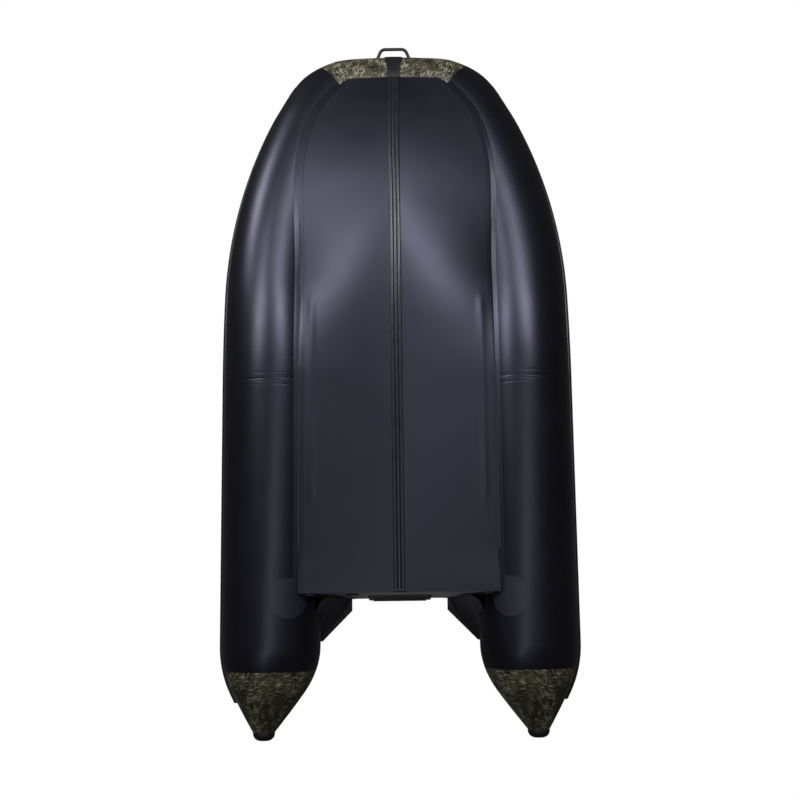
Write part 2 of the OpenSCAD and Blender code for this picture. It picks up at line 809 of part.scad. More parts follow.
// Air valves: one on the inboard side of each side tube, one inside the bow
valve_up = 18;
valve_ahead = 190;
valve_y = transom_y - valve_ahead;

module valve_on_x() {
    flange_t = 6;
    cap_h = 14;
    cap_r = 0.34 * valve_d;
    rotate([0, 90, 0]) {
        translate([0, 0, tube_r - flange_t]) cylinder(h = 2 * flange_t, r = valve_d / 2);
        translate([0, 0, tube_r]) cylinder(h = cap_h, r = cap_r);
    }
}

module air_valves() {
    color("#141416") {
        on_both() difference() {
            translate([axis_x, valve_y, tube_r]) rotate([0, 180 + valve_up, 0]) valve_on_x();
            along_tube(valve_y - through, valve_y + through, tube_r);
        }
        difference() {
            translate([0, bow_y, bow_z]) rotate([valve_up + lift, 0, 0]) rotate([0, 0, 90]) valve_on_x();
            translate([-through / 2, bow_y, bow_z]) rotate([0, 90, 0]) cylinder(h = through, r = tube_r);
        }
    }
}

// Carry handles on the tubes' upper outboard sides: two feet and a bar
carry_angle = 58;
carry_places = [transom_y + 130, ring_y + 90];

module carry_handle() {
    foot_half = 62;
    foot_r = 30;
    foot_t = 6;
    bar_lift = 34;
    rotate([0, 90, 0]) {
        for (q = [-1, 1]) {
            translate([0, q * foot_half, tube_r - foot_t]) cylinder(h = 2 * foot_t, r = foot_r);
            translate([0, q * foot_half, tube_r]) cylinder(h = bar_lift, r = bar_r);
            translate([0, q * foot_half, tube_r + bar_lift]) sphere(bar_r);
        }
        translate([0, foot_half, tube_r + bar_lift]) rotate([90, 0, 0]) cylinder(h = 2 * foot_half, r = bar_r);
    }
}

module carry_handles() {
    color("#141416") on_both() for (y = carry_places) difference() {
        translate([axis_x, y, tube_r]) rotate([0, -carry_angle, 0]) carry_handle();
        along_tube(y - through, y + through, tube_r);
    }
}

aft_tube_lower(1);  // aft_tube_lower_port
aft_tube_lower(-1);  // aft_tube_lower_starboard
aft_tube_upper(1);  // aft_tube_upper_port
aft_tube_upper(-1);  // aft_tube_upper_starboard
fore_tube_lower(1);  // fore_tube_lower_port
fore_tube_lower(-1);  // fore_tube_lower_starboard
fore_tube_upper(1);  // fore_tube_upper_port
fore_tube_upper(-1);  // fore_tube_upper_starboard
bow_tube();
tail_cone(1);  // tail_cone_port
tail_cone(-1);  // tail_cone_starboard
tail_caps();
strake(1);  // strake_port
strake(-1);  // strake_starboard
strake_bow();
hull_bottom();
keel_guard();
bow_guard();
bow_handle();
transom();
transom_channels();
motor_pad_outer();
motor_pad_inner();
knee_plates();
corner_coves();
drain_valve();
floorboard_bow();
floorboard(2);  // floorboard_fore
floorboard(1);  // floorboard_middle
floorboard(0);  // floorboard_aft
floor_joints();
stringers();
seat_rails();
bench(bench_fore_y);  // bench_fore
bench_shoes(bench_fore_y);  // bench_fore_shoes
bench(bench_aft_y);  // bench_aft
bench_shoes(bench_aft_y);  // bench_aft_shoes
oarlock_bases();
oarlock_yoke(1);  // oarlock_yoke_port
oarlock_yoke(-1);  // oarlock_yoke_starboard
air_valves();
carry_handles();
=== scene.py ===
import math

import bpy
from mathutils import Matrix, Vector


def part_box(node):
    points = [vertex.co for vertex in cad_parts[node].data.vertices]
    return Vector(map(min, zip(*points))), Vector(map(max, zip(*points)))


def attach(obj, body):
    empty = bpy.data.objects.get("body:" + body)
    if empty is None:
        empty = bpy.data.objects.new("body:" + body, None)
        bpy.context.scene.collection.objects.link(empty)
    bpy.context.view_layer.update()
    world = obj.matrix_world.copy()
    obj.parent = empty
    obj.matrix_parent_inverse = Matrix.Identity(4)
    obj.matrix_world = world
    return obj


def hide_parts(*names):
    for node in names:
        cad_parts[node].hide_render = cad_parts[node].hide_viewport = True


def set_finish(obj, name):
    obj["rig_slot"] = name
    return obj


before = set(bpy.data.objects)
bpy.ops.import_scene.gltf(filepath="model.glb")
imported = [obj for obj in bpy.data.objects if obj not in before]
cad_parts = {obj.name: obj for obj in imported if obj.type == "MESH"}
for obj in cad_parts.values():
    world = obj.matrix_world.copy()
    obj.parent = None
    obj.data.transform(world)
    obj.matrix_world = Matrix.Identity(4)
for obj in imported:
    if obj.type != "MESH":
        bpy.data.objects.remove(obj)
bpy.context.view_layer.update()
bpy.context.scene.view_settings.view_transform = "Standard"


# Side tubes: PVC-coated cloth cut in panels and glued, black below and printed with dry grass above.
# They run straight from the tail cones to a ring seam, rise from there and turn in to the blunt bow.
tube_low, tube_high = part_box("aft_tube_upper_port")
tube_r = (tube_high.x - tube_low.x) / 2
tube_x = (tube_low.x + tube_high.x) / 2
tube_z = tube_high.z - tube_r
tube_sides, around = 128, 2 * math.pi * tube_r
ring_y = tube_low.y
cone_y = tube_high.y
panel_drop = 0.012
panel_z = tube_z - panel_drop
lift_r, lift = 2.024, math.radians(12.5)
flare_r, flare = 2.408, math.radians(22.2)
shoulder_r, shoulder = 0.590, math.radians(30.4)
lift_arc, flare_arc, shoulder_arc = lift_r * lift, flare_r * flare, shoulder_r * shoulder
fore_arc = lift_arc + flare_arc + shoulder_arc
lift_rows, flare_rows, shoulder_rows = 24, 40, 30
mitre_spare = 0.11
cloth_t = 0.0015
seam_reach, seam_rows = 0.048, 16
black_tone = (0.0030, 0.0030, 0.0042, 1)
merge_gap, mirror_gap = 0.00005, 0.0002


def tube_frame(s):
    """Port tube, s metres ahead of the ring seam: its axis point and its ways out, up and ahead."""
    pitch = min(max(s, 0), lift_arc) / lift_r
    turned = max(s - lift_arc, 0)
    long_turn = min(turned / flare_r, flare)
    yaw = long_turn + max(turned - flare_arc, 0) / shoulder_r
    run = flare_r * math.sin(long_turn) + shoulder_r * (math.sin(yaw) - math.sin(long_turn))
    inset = flare_r * (1 - math.cos(long_turn)) + shoulder_r * (math.cos(long_turn) - math.cos(yaw))
    point = Vector((
        tube_x - inset,
        ring_y - min(s, 0) - lift_r * math.sin(pitch) - run * math.cos(lift),
        tube_z + lift_r * (1 - math.cos(pitch)) + run * math.sin(lift),
    ))
    up = Vector((0, math.sin(pitch), math.cos(pitch)))
    ahead = Vector((-math.sin(yaw), -math.cos(yaw) * math.cos(pitch), math.cos(yaw) * math.sin(pitch)))
    return point, up.cross(ahead), up, ahead


bow_end, bow_out, bow_up, bow_ahead = tube_frame(fore_arc)
mitre_normal = (bow_ahead + Vector((-1, 0, 0))).normalized()


def begin(name, add, **place):
    """Adds a primitive with nothing else selected, at the origin and unturned, and opens it in edit mode."""
    bpy.ops.object.select_all(action="DESELECT")
    add(**place)
    piece = bpy.context.object
    piece.name = piece.data.name = name
    bpy.ops.object.transform_apply(location=True, rotation=True, scale=True)
    bpy.ops.object.mode_set(mode="EDIT")
    bpy.ops.mesh.select_mode(type="VERT")
    bpy.ops.mesh.select_all(action="SELECT")
    return piece


def extrude(*move):
    bpy.ops.mesh.extrude_region_move(TRANSFORM_OT_translate={"value": move})


def sweep_to_bow(straight):
    """Runs the selected section along the straight tube, the lift and both turns to the mitre."""
    for step in straight:
        extrude(0, -step, 0)
    lift_centre = (tube_x, ring_y, tube_z + lift_r)
    seam_angle = seam_reach / lift_r
    for rows, angle in ((seam_rows, seam_angle), (lift_rows, lift - seam_angle)):
        bpy.ops.mesh.spin(steps=rows, angle=angle, center=lift_centre, axis=(1, 0, 0))
    for s, radius, angle, rows in (
        (lift_arc, flare_r, flare, flare_rows),
        (lift_arc + flare_arc, shoulder_r, shoulder, shoulder_rows),
    ):
        point, out, up = tube_frame(s)[:3]
        bpy.ops.mesh.spin(steps=rows, angle=angle, center=point - out * radius, axis=up)
    extrude(*(bow_ahead * mitre_spare))
    bpy.ops.mesh.select_all(action="SELECT")
    bpy.ops.mesh.bisect(plane_co=bow_end, plane_no=mitre_normal, clear_outer=True)


def close_edit():
    """Merges doubles, turns the faces outwards and leaves edit mode."""
    bpy.ops.mesh.select_all(action="SELECT")
    bpy.ops.mesh.remove_doubles(threshold=merge_gap)
    bpy.ops.mesh.normals_make_consistent(inside=False)
    bpy.ops.object.mode_set(mode="OBJECT")


def modify(piece, kind, **settings):
    """Adds a modifier with these settings and applies it."""
    modifier = piece.modifiers.new(kind.title(), kind)
    for key, value in settings.items():
        setattr(modifier, key, value)
    bpy.context.view_layer.objects.active = piece
    bpy.ops.object.modifier_apply(modifier=modifier.name)


def dress(piece, material, slot, nodes=(), angle=40):
    """Smooths the piece, gives it its material and slot, and seats it on the hull in place of CAD nodes."""
    bpy.ops.object.select_all(action="DESELECT")
    piece.select_set(True)
    bpy.context.view_layer.objects.active = piece
    bpy.ops.object.shade_smooth_by_angle(angle=math.radians(angle))
    piece.data.materials.clear()
    piece.data.materials.append(material)
    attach(piece, "hull")
    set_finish(piece, slot)
    if nodes:
        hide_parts(*nodes)
    return piece


def more(piece, name, change, nodes=()):
    """Another copy of a finished piece, put elsewhere by a matrix, with its own mesh."""
    mesh = piece.data.copy()
    mesh.name = name
    mesh.transform(change)
    if change.is_negative:
        mesh.flip_normals()
    copied = bpy.data.objects.new(name, mesh)
    bpy.context.scene.collection.objects.link(copied)
    return dress(copied, piece.data.materials[0], piece["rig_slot"], nodes)


def starboard_twin(piece, name, nodes=()):
    return more(piece, name, Matrix.Scale(-1, 4, (1, 0, 0)), nodes)


def new_material(name, **sockets):
    """A node material, with its constants on the shader's own sockets."""
    material = bpy.data.materials.new(name)
    material.use_nodes = True
    shader = material.node_tree.nodes["Principled BSDF"]
    for socket, value in sockets.items():
        shader.inputs[socket.replace("_", " ")].default_value = value
    return material


def node(material, kind, links=(), **settings):
    """Adds a node; links are (input, node, output) and settings are properties or input values."""
    made = material.node_tree.nodes.new(kind)
    for key, value in settings.items():
        if hasattr(made, key):
            setattr(made, key, value)
        else:
            made.inputs[key.replace("_", " ")].default_value = value
    for into, source, output in links:
        material.node_tree.links.new(source.outputs[output], made.inputs[into])
    return made


def to_shader(material, socket, source, output):
    shader = material.node_tree.nodes["Principled BSDF"]
    material.node_tree.links.new(source.outputs[output], shader.inputs[socket])


def ramp(material, source, output, *stops):
    """Colour ramp over a value; stops are (place, colour)."""
    made = node(material, "ShaderNodeValToRGB", [("Fac", source, output)])
    while len(made.color_ramp.elements) < len(stops):
        made.color_ramp.elements.new(1)
    for element, (place, colour) in zip(made.color_ramp.elements, stops):
        element.position = place
        element.color = colour
    return made


def paler(tone, times):
    """The same tone, that many times as bright."""
    return tuple(times * part for part in tone[:3]) + (1,)


def mottled(material, place, dark, light, rough, scale=9):
    """Slow change of colour and gloss, as of handled and wiped cloth, rubber or paint."""
    clouds = node(material, "ShaderNodeTexNoise", [("Vector", place, "Object")], Scale=scale, Detail=6)
    colours = ramp(material, clouds, "Fac", (0.3, dark), (0.7, light))
    to_shader(material, "Base Color", colours, "Color")
    gloss = node(material, "ShaderNodeMapRange", [("Value", clouds, "Fac")],
                 To_Min=rough[0], To_Max=rough[1])
    to_shader(material, "Roughness", gloss, "Result")


def bump(material, height, output, distance, strength=1, below=None):
    """Bump of that depth in metres, on top of another bump."""
    links = [("Height", height, output)]
    if below:
        links.append(("Normal", below, "Normal"))
    return node(material, "ShaderNodeBump", links, Distance=distance, Strength=strength)


weave_scale, weave_depth, weave_show = 900, 0.00012, 0.25


def coated_cloth(name, tone, rough):
    """Glossy PVC coat over a woven base: slow waves, a faint weave and small creases."""
    wave_depth, crease_depth, crease_show = 0.0012, 0.0001, 0.35
    material = new_material(name, Specular_IOR_Level=0.5, Specular_Tint=(0.80, 0.81, 1, 1))
    place = node(material, "ShaderNodeTexCoord")
    mottled(material, place, tone, paler(tone, 1.35), rough)
    waves = node(material, "ShaderNodeTexNoise", [("Vector", place, "Object")], Scale=5.5, Detail=1.5)
    weave = node(material, "ShaderNodeTexNoise", [("Vector", place, "Object")], Scale=weave_scale, Detail=1)
    creases = node(material, "ShaderNodeTexVoronoi", [("Vector", place, "Object")],
                   feature="DISTANCE_TO_EDGE", Scale=4.5)
    fine = ramp(material, creases, "Distance", (0, (0, 0, 0, 1)), (0.012, (1, 1, 1, 1)))
    slow = bump(material, waves, "Fac", wave_depth)
    woven = bump(material, weave, "Fac", weave_depth, weave_show, slow)
    creased = bump(material, fine, "Color", crease_depth, crease_show, woven)
    to_shader(material, "Normal", creased, "Normal")
    return material


def grass_print(name):
    """Printed dry grass: dark ground, brown and olive clouds, and blades laid across each other."""
    bend, wave_depth = 0.030, 0.001
    material = new_material(name, Specular_IOR_Level=0.35)
    place = node(material, "ShaderNodeTexCoord")
    clouds = node(material, "ShaderNodeTexNoise", [("Vector", place, "UV")], Scale=14, Detail=5)
    colour = ramp(
        material, clouds, "Fac",
        (0.36, (0.008, 0.008, 0.005, 1)),
        (0.50, (0.026, 0.024, 0.011, 1)),
        (0.64, (0.050, 0.038, 0.019, 1)),
    )
    # Each kind of blade: its turn, its cell's width and length in metres, its tint and its share of the cell.
    blades = (
        (0.4, 0.0100, 0.085, (0.050, 0.049, 0.022, 1), 0.40),
        (-0.7, 0.0105, 0.090, (0.085, 0.066, 0.033, 1), 0.38),
        (1.2, 0.0095, 0.080, (0.120, 0.111, 0.058, 1), 0.35),
        (2.1, 0.0090, 0.075, (0.150, 0.140, 0.080, 1), 0.32),
        (2.8, 0.0085, 0.075, (0.270, 0.255, 0.165, 1), 0.29),
        (-1.4, 0.0085, 0.070, (0.390, 0.375, 0.270, 1), 0.27),
    )
    thick = node(material, "ShaderNodeTexNoise", [("Vector", place, "UV")], Scale=9, Detail=3)
    cover = node(material, "ShaderNodeMapRange", [("Value", thick, "Fac")],
                 From_Min=0.38, From_Max=0.56, To_Min=0.12)
    wander = node(material, "ShaderNodeTexNoise", [("Vector", place, "UV")], Scale=9, Detail=1)
    bent = node(material, "ShaderNodeVectorMath", [(0, wander, "Color"), (2, place, "UV")],
                operation="MULTIPLY_ADD")
    bent.inputs[1].default_value = (bend, bend, 0)
    for turn, across, along, tint, width in blades:
        laid = node(material, "ShaderNodeMapping", [("Vector", bent, "Vector")], vector_type="TEXTURE",
                    Rotation=(0, 0, turn), Scale=(across, along, 1))
        cells = node(material, "ShaderNodeTexVoronoi", [("Vector", laid, "Vector")],
                     voronoi_dimensions="2D", Scale=1)
        blade = ramp(material, cells, "Distance", (0.65 * width, (1, 1, 1, 1)), (width, (0, 0, 0, 1)))
        chance = node(material, "ShaderNodeSeparateColor", [("Color", cells, "Color")])
        kept = node(material, "ShaderNodeMapRange", [("Value", chance, "Red")], From_Min=0.35, From_Max=0.8)
        grown = node(material, "ShaderNodeMath", [(0, kept, "Result"), (1, cover, "Result")],
                     operation="MULTIPLY")
        share = node(material, "ShaderNodeMath", [(0, blade, "Color"), (1, grown, "Value")],
                     operation="MULTIPLY")
        colour = node(material, "ShaderNodeMixRGB", [("Fac", share, "Value"), ("Color1", colour, "Color")],
                      Color2=tint)
    to_shader(material, "Base Color", colour, "Color")
    gloss = node(material, "ShaderNodeMapRange", [("Value", clouds, "Fac")], To_Min=0.44, To_Max=0.58)
    to_shader(material, "Roughness", gloss, "Result")
    weave = node(material, "ShaderNodeTexNoise", [("Vector", place, "Object")], Scale=weave_scale, Detail=1)
    waves = node(material, "ShaderNodeTexNoise", [("Vector", place, "Object")], Scale=6, Detail=1.5)
    slow = bump(material, waves, "Fac", wave_depth)
    to_shader(material, "Normal", bump(material, weave, "Fac", weave_depth, weave_show, slow), "Normal")
    return material


black_cloth = coated_cloth("black_coated_cloth", black_tone, (0.33, 0.39))
grass_cloth = grass_print("grass_printed_cloth")


# Places and depths of the folds at the ring seam, in metres from it and into the tube.
seam_folds = ((-0.029, 0.0006), (-0.014, 0.0005), (-0.002, 0.0013), (0.011, 0.0006), (0.026, 0.0006))
fold_half, fold_sway, sway_turns = 0.0045, 0.002, 3
fade_mean, fade_swing, fade_turns = 0.65, 0.35, 7


def pucker(piece):
    """The glued ring seam draws the cloth in along a few fine folds that waver and fade round the tube."""
    for vertex in piece.data.vertices:
        gap = vertex.co.y - ring_y
        if abs(gap) < seam_reach:
            radial = Vector((vertex.co.x - tube_x, 0, vertex.co.z - tube_z))
            turn = math.atan2(radial.z, radial.x)
            drawn = 0
            for k, (place, depth) in enumerate(seam_folds):
                off = gap - place - fold_sway * math.sin((sway_turns + k) * turn + k)
                fade = fade_mean + fade_swing * math.sin(fade_turns * turn + 2 * k)
                drawn += depth * fade * math.exp(-((off / fold_half) ** 2))
            vertex.co -= radial.normalized() * drawn


cone_low, cone_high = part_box("tail_cone_port")
cone_len = cone_high.y - cone_low.y
cone_lean = Vector((0.038, 0, 0.030))
cone_end_r, cone_belly, tail_round = 0.052, 0.005, 0.11


def tail_at(y):
    """Shift of the middle and radius of the tube's tail, which rounds from straight into the cone."""
    gap = y - cone_y
    run = max(gap, 0) if abs(gap) > tail_round else (gap + tail_round) ** 2 / (4 * tail_round)
    share = run / cone_len
    belly = cone_belly * math.sin(math.pi * min(share, 1))
    return cone_lean * share, tube_r + (cone_end_r - tube_r) * share + belly


def round_tail(piece, all_round=True):
    """Draws a straight piece's aft end in to the rounded tail: all round, or only sideways."""
    for vertex in piece.data.vertices:
        shift, radius = tail_at(vertex.co.y)
        if all_round:
            vertex.co.x = tube_x + (vertex.co.x - tube_x) * radius / tube_r
            vertex.co.z = tube_z + (vertex.co.z - tube_z) * radius / tube_r
        else:
            vertex.co.x += radius - tube_r
        vertex.co += shift


corner_out = (bow_out + Vector((0, -math.cos(lift), math.sin(lift)))).normalized()
corner_round, mitre_half = 0.12, (math.pi / 2 - flare - shoulder) / 2
corner_pull = 0.5 * corner_round * math.tan(mitre_half)
full_back, full_half, full_depth = 0.09, 0.14, 0.026
full_at, full_out, _, full_ahead = tube_frame(fore_arc - full_back)
front_half, front_depth = 0.2, 0.010
reach_most = 1.2


def round_bow(piece):
    """The cloth doesn't keep the mitres sharp: the pressure rounds both outer corners and fills the front."""
    for vertex in piece.data.vertices:
        place = Vector((abs(vertex.co.x), vertex.co.y, vertex.co.z)) - bow_end
        near = max(1 - abs(place.dot(mitre_normal)) / corner_round, 0) ** 2
        reach = min(max(place.dot(corner_out) / tube_r, 0), reach_most)
        pull = corner_out * (-corner_pull * near * reach * reach)
        beside = place + bow_end - full_at
        near = math.exp(-((beside.dot(full_ahead) / full_half) ** 2))
        reach = min(max(beside.dot(full_out) / tube_r, 0), reach_most)
        pull += full_out * (full_depth * near * reach * reach)
        if vertex.co.x < 0:
            pull.x = -pull.x
        vertex.co += pull
        front = min(max(-(vertex.co.y - bow_end.y) / tube_r, 0), reach_most)
        vertex.co.y -= front_depth * front * math.exp(-((vertex.co.x / front_half) ** 2))


def lay_print(piece, rule):
    """Print coordinates in metres; a face across the join of a round keeps to one side of it."""
    for old in list(piece.data.uv_layers):
        piece.data.uv_layers.remove(old)
    layer = piece.data.uv_layers.new(name="print")
    places = [rule(vertex.co) for vertex in piece.data.vertices]
    for face in piece.data.polygons:
        first = places[face.vertices[0]][0]
        for loop, index in zip(face.loop_indices, face.vertices):
            u, v, period = places[index]
            layer.data[loop].uv = (u - period * round((u - first) / period), v)


def tube_print(place):
    """Distances round the port tube and along it from the ring seam, and its girth."""
    s = ring_y - place.y
    for attempt in range(5):
        point, _, _, ahead = tube_frame(s)
        s += (place - point).dot(ahead)
    point, out, up = tube_frame(s)[:3]
    rel = place - point
    return tube_r * math.atan2(rel.dot(up), rel.dot(out)), s, around


corner_back, corner_slant = 0.055, 0.2
corner_s = fore_arc - corner_back
corner_at, corner_side, _, corner_ahead = tube_frame(corner_s)
corner_cut = (corner_ahead - corner_slant * corner_side).normalized()
straight_run = cone_y - ring_y
plain_run = straight_run - tail_round - seam_reach
tube_rows = ((tail_round, 8), (plain_run, 12), (seam_reach, seam_rows))
tube_steps = [run / rows for run, rows in tube_rows for row in range(rows)]
for half, above, cloth, slot_name in (
    ("lower", False, black_cloth, "pvc_black"),
    ("upper", True, grass_cloth, "pvc_camo"),
):
    tube = begin(f"tube_{half}_port", bpy.ops.mesh.primitive_circle_add, vertices=tube_sides, radius=tube_r,
                 location=(tube_x, cone_y, tube_z), rotation=(math.pi / 2, 0, 0))
    bpy.ops.mesh.bisect(plane_co=(0, 0, panel_z), plane_no=(0, 0, 1),
                        clear_outer=not above, clear_inner=above)
    bpy.ops.mesh.select_all(action="SELECT")
    sweep_to_bow(tube_steps)
    bpy.ops.mesh.select_all(action="SELECT")
    bpy.ops.mesh.bisect(plane_co=corner_at, plane_no=corner_cut, clear_outer=True)
    close_edit()
    lay_print(tube, tube_print)
    pucker(tube)
    round_tail(tube)
    round_bow(tube)
    modify(tube, "SOLIDIFY", thickness=cloth_t, offset=-1)
    nodes = [f"{end}_tube_{half}_{{}}" for end in ("aft", "fore")]
    dress(tube, cloth, slot_name, [n.format("port") for n in nodes])
    starboard_twin(tube, f"tube_{half}_starboard", [n.format("starboard") for n in nodes])


# Bow tube: a short cross length of the printed cloth with a corner piece at each end, mitred together.
# The corner pieces are glued to the ends of the black and printed side panels.
corner_spare, corner_rows, corner_end_rows = 0.06, 10, 6
spare_at, spare_side, spare_up = tube_frame(corner_s - corner_spare)[:3]
corner_turn = (fore_arc - corner_s + corner_spare) / shoulder_r
corner = begin("bow_corner_port", bpy.ops.mesh.primitive_circle_add, vertices=tube_sides, radius=tube_r)
bpy.ops.object.mode_set(mode="OBJECT")
corner.data.transform(Matrix.Translation(spare_at) @ Matrix(
    (spare_side, spare_up, spare_side.cross(spare_up))).transposed().to_4x4())
bpy.ops.object.mode_set(mode="EDIT")
bpy.ops.mesh.select_all(action="SELECT")
bpy.ops.mesh.spin(steps=corner_rows, angle=corner_turn,
                  center=spare_at - spare_side * shoulder_r, axis=spare_up)
for row in range(corner_end_rows):
    extrude(*(bow_ahead * mitre_spare / corner_end_rows))
bpy.ops.mesh.select_all(action="SELECT")
bpy.ops.mesh.bisect(plane_co=bow_end, plane_no=mitre_normal, clear_outer=True)
bpy.ops.mesh.select_all(action="SELECT")
bpy.ops.mesh.bisect(plane_co=corner_at, plane_no=corner_cut, clear_inner=True)
close_edit()
lay_print(corner, tube_print)
round_bow(corner)
modify(corner, "SOLIDIFY", thickness=cloth_t, offset=-1)
dress(corner, grass_cloth, "pvc_camo")
starboard_twin(corner, "bow_corner_starboard")

bow_y, bow_z = bow_end.y, bow_end.z
bow_rows, bow_print_shift = 16, 0.4
bow_tube = begin("bow_cross_tube", bpy.ops.mesh.primitive_circle_add, vertices=tube_sides, radius=tube_r,
                 location=(0, bow_y, bow_z), rotation=(0, math.pi / 2, 0))
for row in range(bow_rows):
    extrude((bow_end.x + mitre_spare) / bow_rows, 0, 0)
bpy.ops.mesh.select_all(action="SELECT")
bpy.ops.mesh.bisect(plane_co=bow_end, plane_no=mitre_normal, clear_inner=True)
close_edit()
modify(bow_tube, "MIRROR", use_axis=(True, False, False), merge_threshold=mirror_gap)
lay_print(bow_tube, lambda place: (
    tube_r * math.atan2(place.z - bow_z, bow_y - place.y), place.x + bow_print_shift, around))
round_bow(bow_tube)
modify(bow_tube, "SOLIDIFY", thickness=cloth_t, offset=-1)
dress(bow_tube, grass_cloth, "pvc_camo", ["bow_tube"])


# Tail cones: printed cloth, leaning outboard and up, glued over the tubes' aft ends.
# Each is closed by a moulded cap with a rounded nose.
cone_rows = 20
cone_tip = Vector((tube_x, cone_y + cone_len, tube_z)) + cone_lean
cone = begin("tail_cone_skin_port", bpy.ops.mesh.primitive_circle_add, vertices=tube_sides, radius=tube_r,
             location=(tube_x, cone_y, tube_z), rotation=(math.pi / 2, 0, 0))
for row in range(cone_rows):
    extrude(0, cone_len / cone_rows, 0)
close_edit()
round_tail(cone)


def cone_print(place):
    """Distances round the cone and along it, and its girth there, taken halfway to the tube's."""
    shift, radius = tail_at(place.y)
    turn = math.atan2(place.x - tube_x - shift.x, tube_z + shift.z - place.z)
    mean_r = 0.5 * tube_r + 0.5 * radius
    return turn * mean_r, place.y, 2 * math.pi * mean_r


lay_print(cone, cone_print)
modify(cone, "SOLIDIFY", thickness=cloth_t, offset=-1)
dress(cone, grass_cloth, "pvc_camo", ["tail_cone_port"])
starboard_twin(cone, "tail_cone_skin_starboard", ["tail_cone_starboard"])


def moulded(name, tone, rough):
    """Moulded plastic or rubber: even dark tone, a fine spark-eroded grain and a few handling marks."""
    grain_depth, grain_show = 0.00012, 0.4
    material = new_material(name, Specular_IOR_Level=0.45)
    place = node(material, "ShaderNodeTexCoord")
    mottled(material, place, tone, paler(tone, 1.5), rough, 18)
    grains = node(material, "ShaderNodeTexNoise", [("Vector", place, "Object")], Scale=1600, Detail=2)
    to_shader(material, "Normal", bump(material, grains, "Fac", grain_depth, grain_show), "Normal")
    return material


moulded_black = moulded("moulded_black", (0.006, 0.006, 0.007, 1), (0.42, 0.56))
strake_rubber = moulded("strake_rubber", (0.007, 0.007, 0.008, 1), (0.38, 0.5))


def pick(piece, test):
    """Selects the faces that pass the test."""
    bpy.ops.mesh.select_mode(type="FACE")
    bpy.ops.mesh.select_all(action="DESELECT")
    bpy.ops.object.mode_set(mode="OBJECT")
    for face in piece.data.polygons:
        face.select = test(face)
    bpy.ops.object.mode_set(mode="EDIT")


cap_sides, cap_gap, cap_skirt, cap_bevel = 72, 0.0004, 0.012, 0.001
cap_r = cone_end_r - cap_gap
cap_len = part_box("tail_caps")[1].y - cone_tip.y
nose_round, dimple_rim, dimple_depth = 0.85 * cap_len, 0.006, 0.002
dimple_y = cone_tip.y + 0.9 * cap_len
cap = begin("tail_cap_port", bpy.ops.mesh.primitive_cylinder_add,
            vertices=cap_sides, radius=cap_r, depth=cap_len + cap_skirt,
            location=cone_tip + Vector((0, cap_len / 2 - cap_skirt / 2, 0)), rotation=(math.pi / 2, 0, 0))
pick(cap, lambda face: face.normal.y > 0.9)
bpy.ops.mesh.bevel(offset=nose_round, segments=12, affect="EDGES")
pick(cap, lambda face: face.normal.y > 0.98 and face.center.y > dimple_y)
bpy.ops.mesh.inset(thickness=dimple_rim)
extrude(0, -dimple_depth, 0)
pick(cap, lambda face: face.normal.y < -0.9)
bpy.ops.mesh.bevel(offset=cap_bevel, segments=2, affect="EDGES")
close_edit()
dress(cap, moulded_black, "moulded_plastic", ["tail_caps"])
starboard_twin(cap, "tail_cap_starboard")


# Rub strake: an extruded rubber fender glued along the widest line of the tubes, with two shallow grooves.
# It is cut square on the tail cones and mitred at the bow.
strake_half, strake_tail, strake_spare, strake_angle = 0.025, 0.150, 0.14, 30
# The section's points: how far each stands off the tube in metres, and its height in half-widths.
strake_outline = (
    (0.0003, -1), (0.005, -1), (0.010, -0.86), (0.0135, -0.66), (0.014, -0.46), (0.0124, -0.38),
    (0.0124, -0.3), (0.014, -0.22), (0.014, 0.22), (0.0124, 0.3), (0.0124, 0.38), (0.014, 0.46),
    (0.0135, 0.66), (0.010, 0.86), (0.005, 1), (0.0003, 1), (0.0003, 0.33), (0.0003, -0.33),
)


def strake_section(piece, middle, out, up):
    """Puts the ring's points on the strake's outline, against the tube's wall."""
    bpy.ops.object.mode_set(mode="OBJECT")
    for vertex, (proud, height) in zip(piece.data.vertices, strake_outline):
        rise = height * strake_half
        vertex.co = middle + up * rise + out * (math.sqrt(tube_r ** 2 - rise ** 2) + proud)
    bpy.ops.object.mode_set(mode="EDIT")
    bpy.ops.mesh.select_all(action="SELECT")


strake = begin("rub_strake_port", bpy.ops.mesh.primitive_circle_add, vertices=len(strake_outline))
strake_section(strake, Vector((tube_x, cone_y + strake_tail, tube_z)), Vector((1, 0, 0)), Vector((0, 0, 1)))
strake_rows = ((strake_tail + tail_round, 12), (straight_run - tail_round, 4))
sweep_to_bow([run / rows for run, rows in strake_rows for row in range(rows)])
bpy.ops.mesh.select_all(action="SELECT")
bpy.ops.mesh.fill_holes(sides=0)
close_edit()
round_tail(strake, all_round=False)
round_bow(strake)
dress(strake, strake_rubber, "strake_rubber", ["strake_port"], strake_angle)
starboard_twin(strake, "rub_strake_starboard", ["strake_starboard"])

bow_strake = begin("rub_strake_bow", bpy.ops.mesh.primitive_circle_add, vertices=len(strake_outline))
front = Vector((0, -math.cos(lift), math.sin(lift)))
strake_section(bow_strake, Vector((0, bow_y, bow_z)), front, bow_up)
for row in range(bow_rows):
    extrude((bow_end.x + strake_spare) / bow_rows, 0, 0)
bpy.ops.mesh.select_all(action="SELECT")
bpy.ops.mesh.bisect(plane_co=bow_end, plane_no=mitre_normal, clear_inner=True, use_fill=True)
close_edit()
modify(bow_strake, "MIRROR", use_axis=(True, False, False), merge_threshold=mirror_gap)
round_bow(bow_strake)
dress(bow_strake, strake_rubber, "strake_rubber", ["strake_bow"], strake_angle)


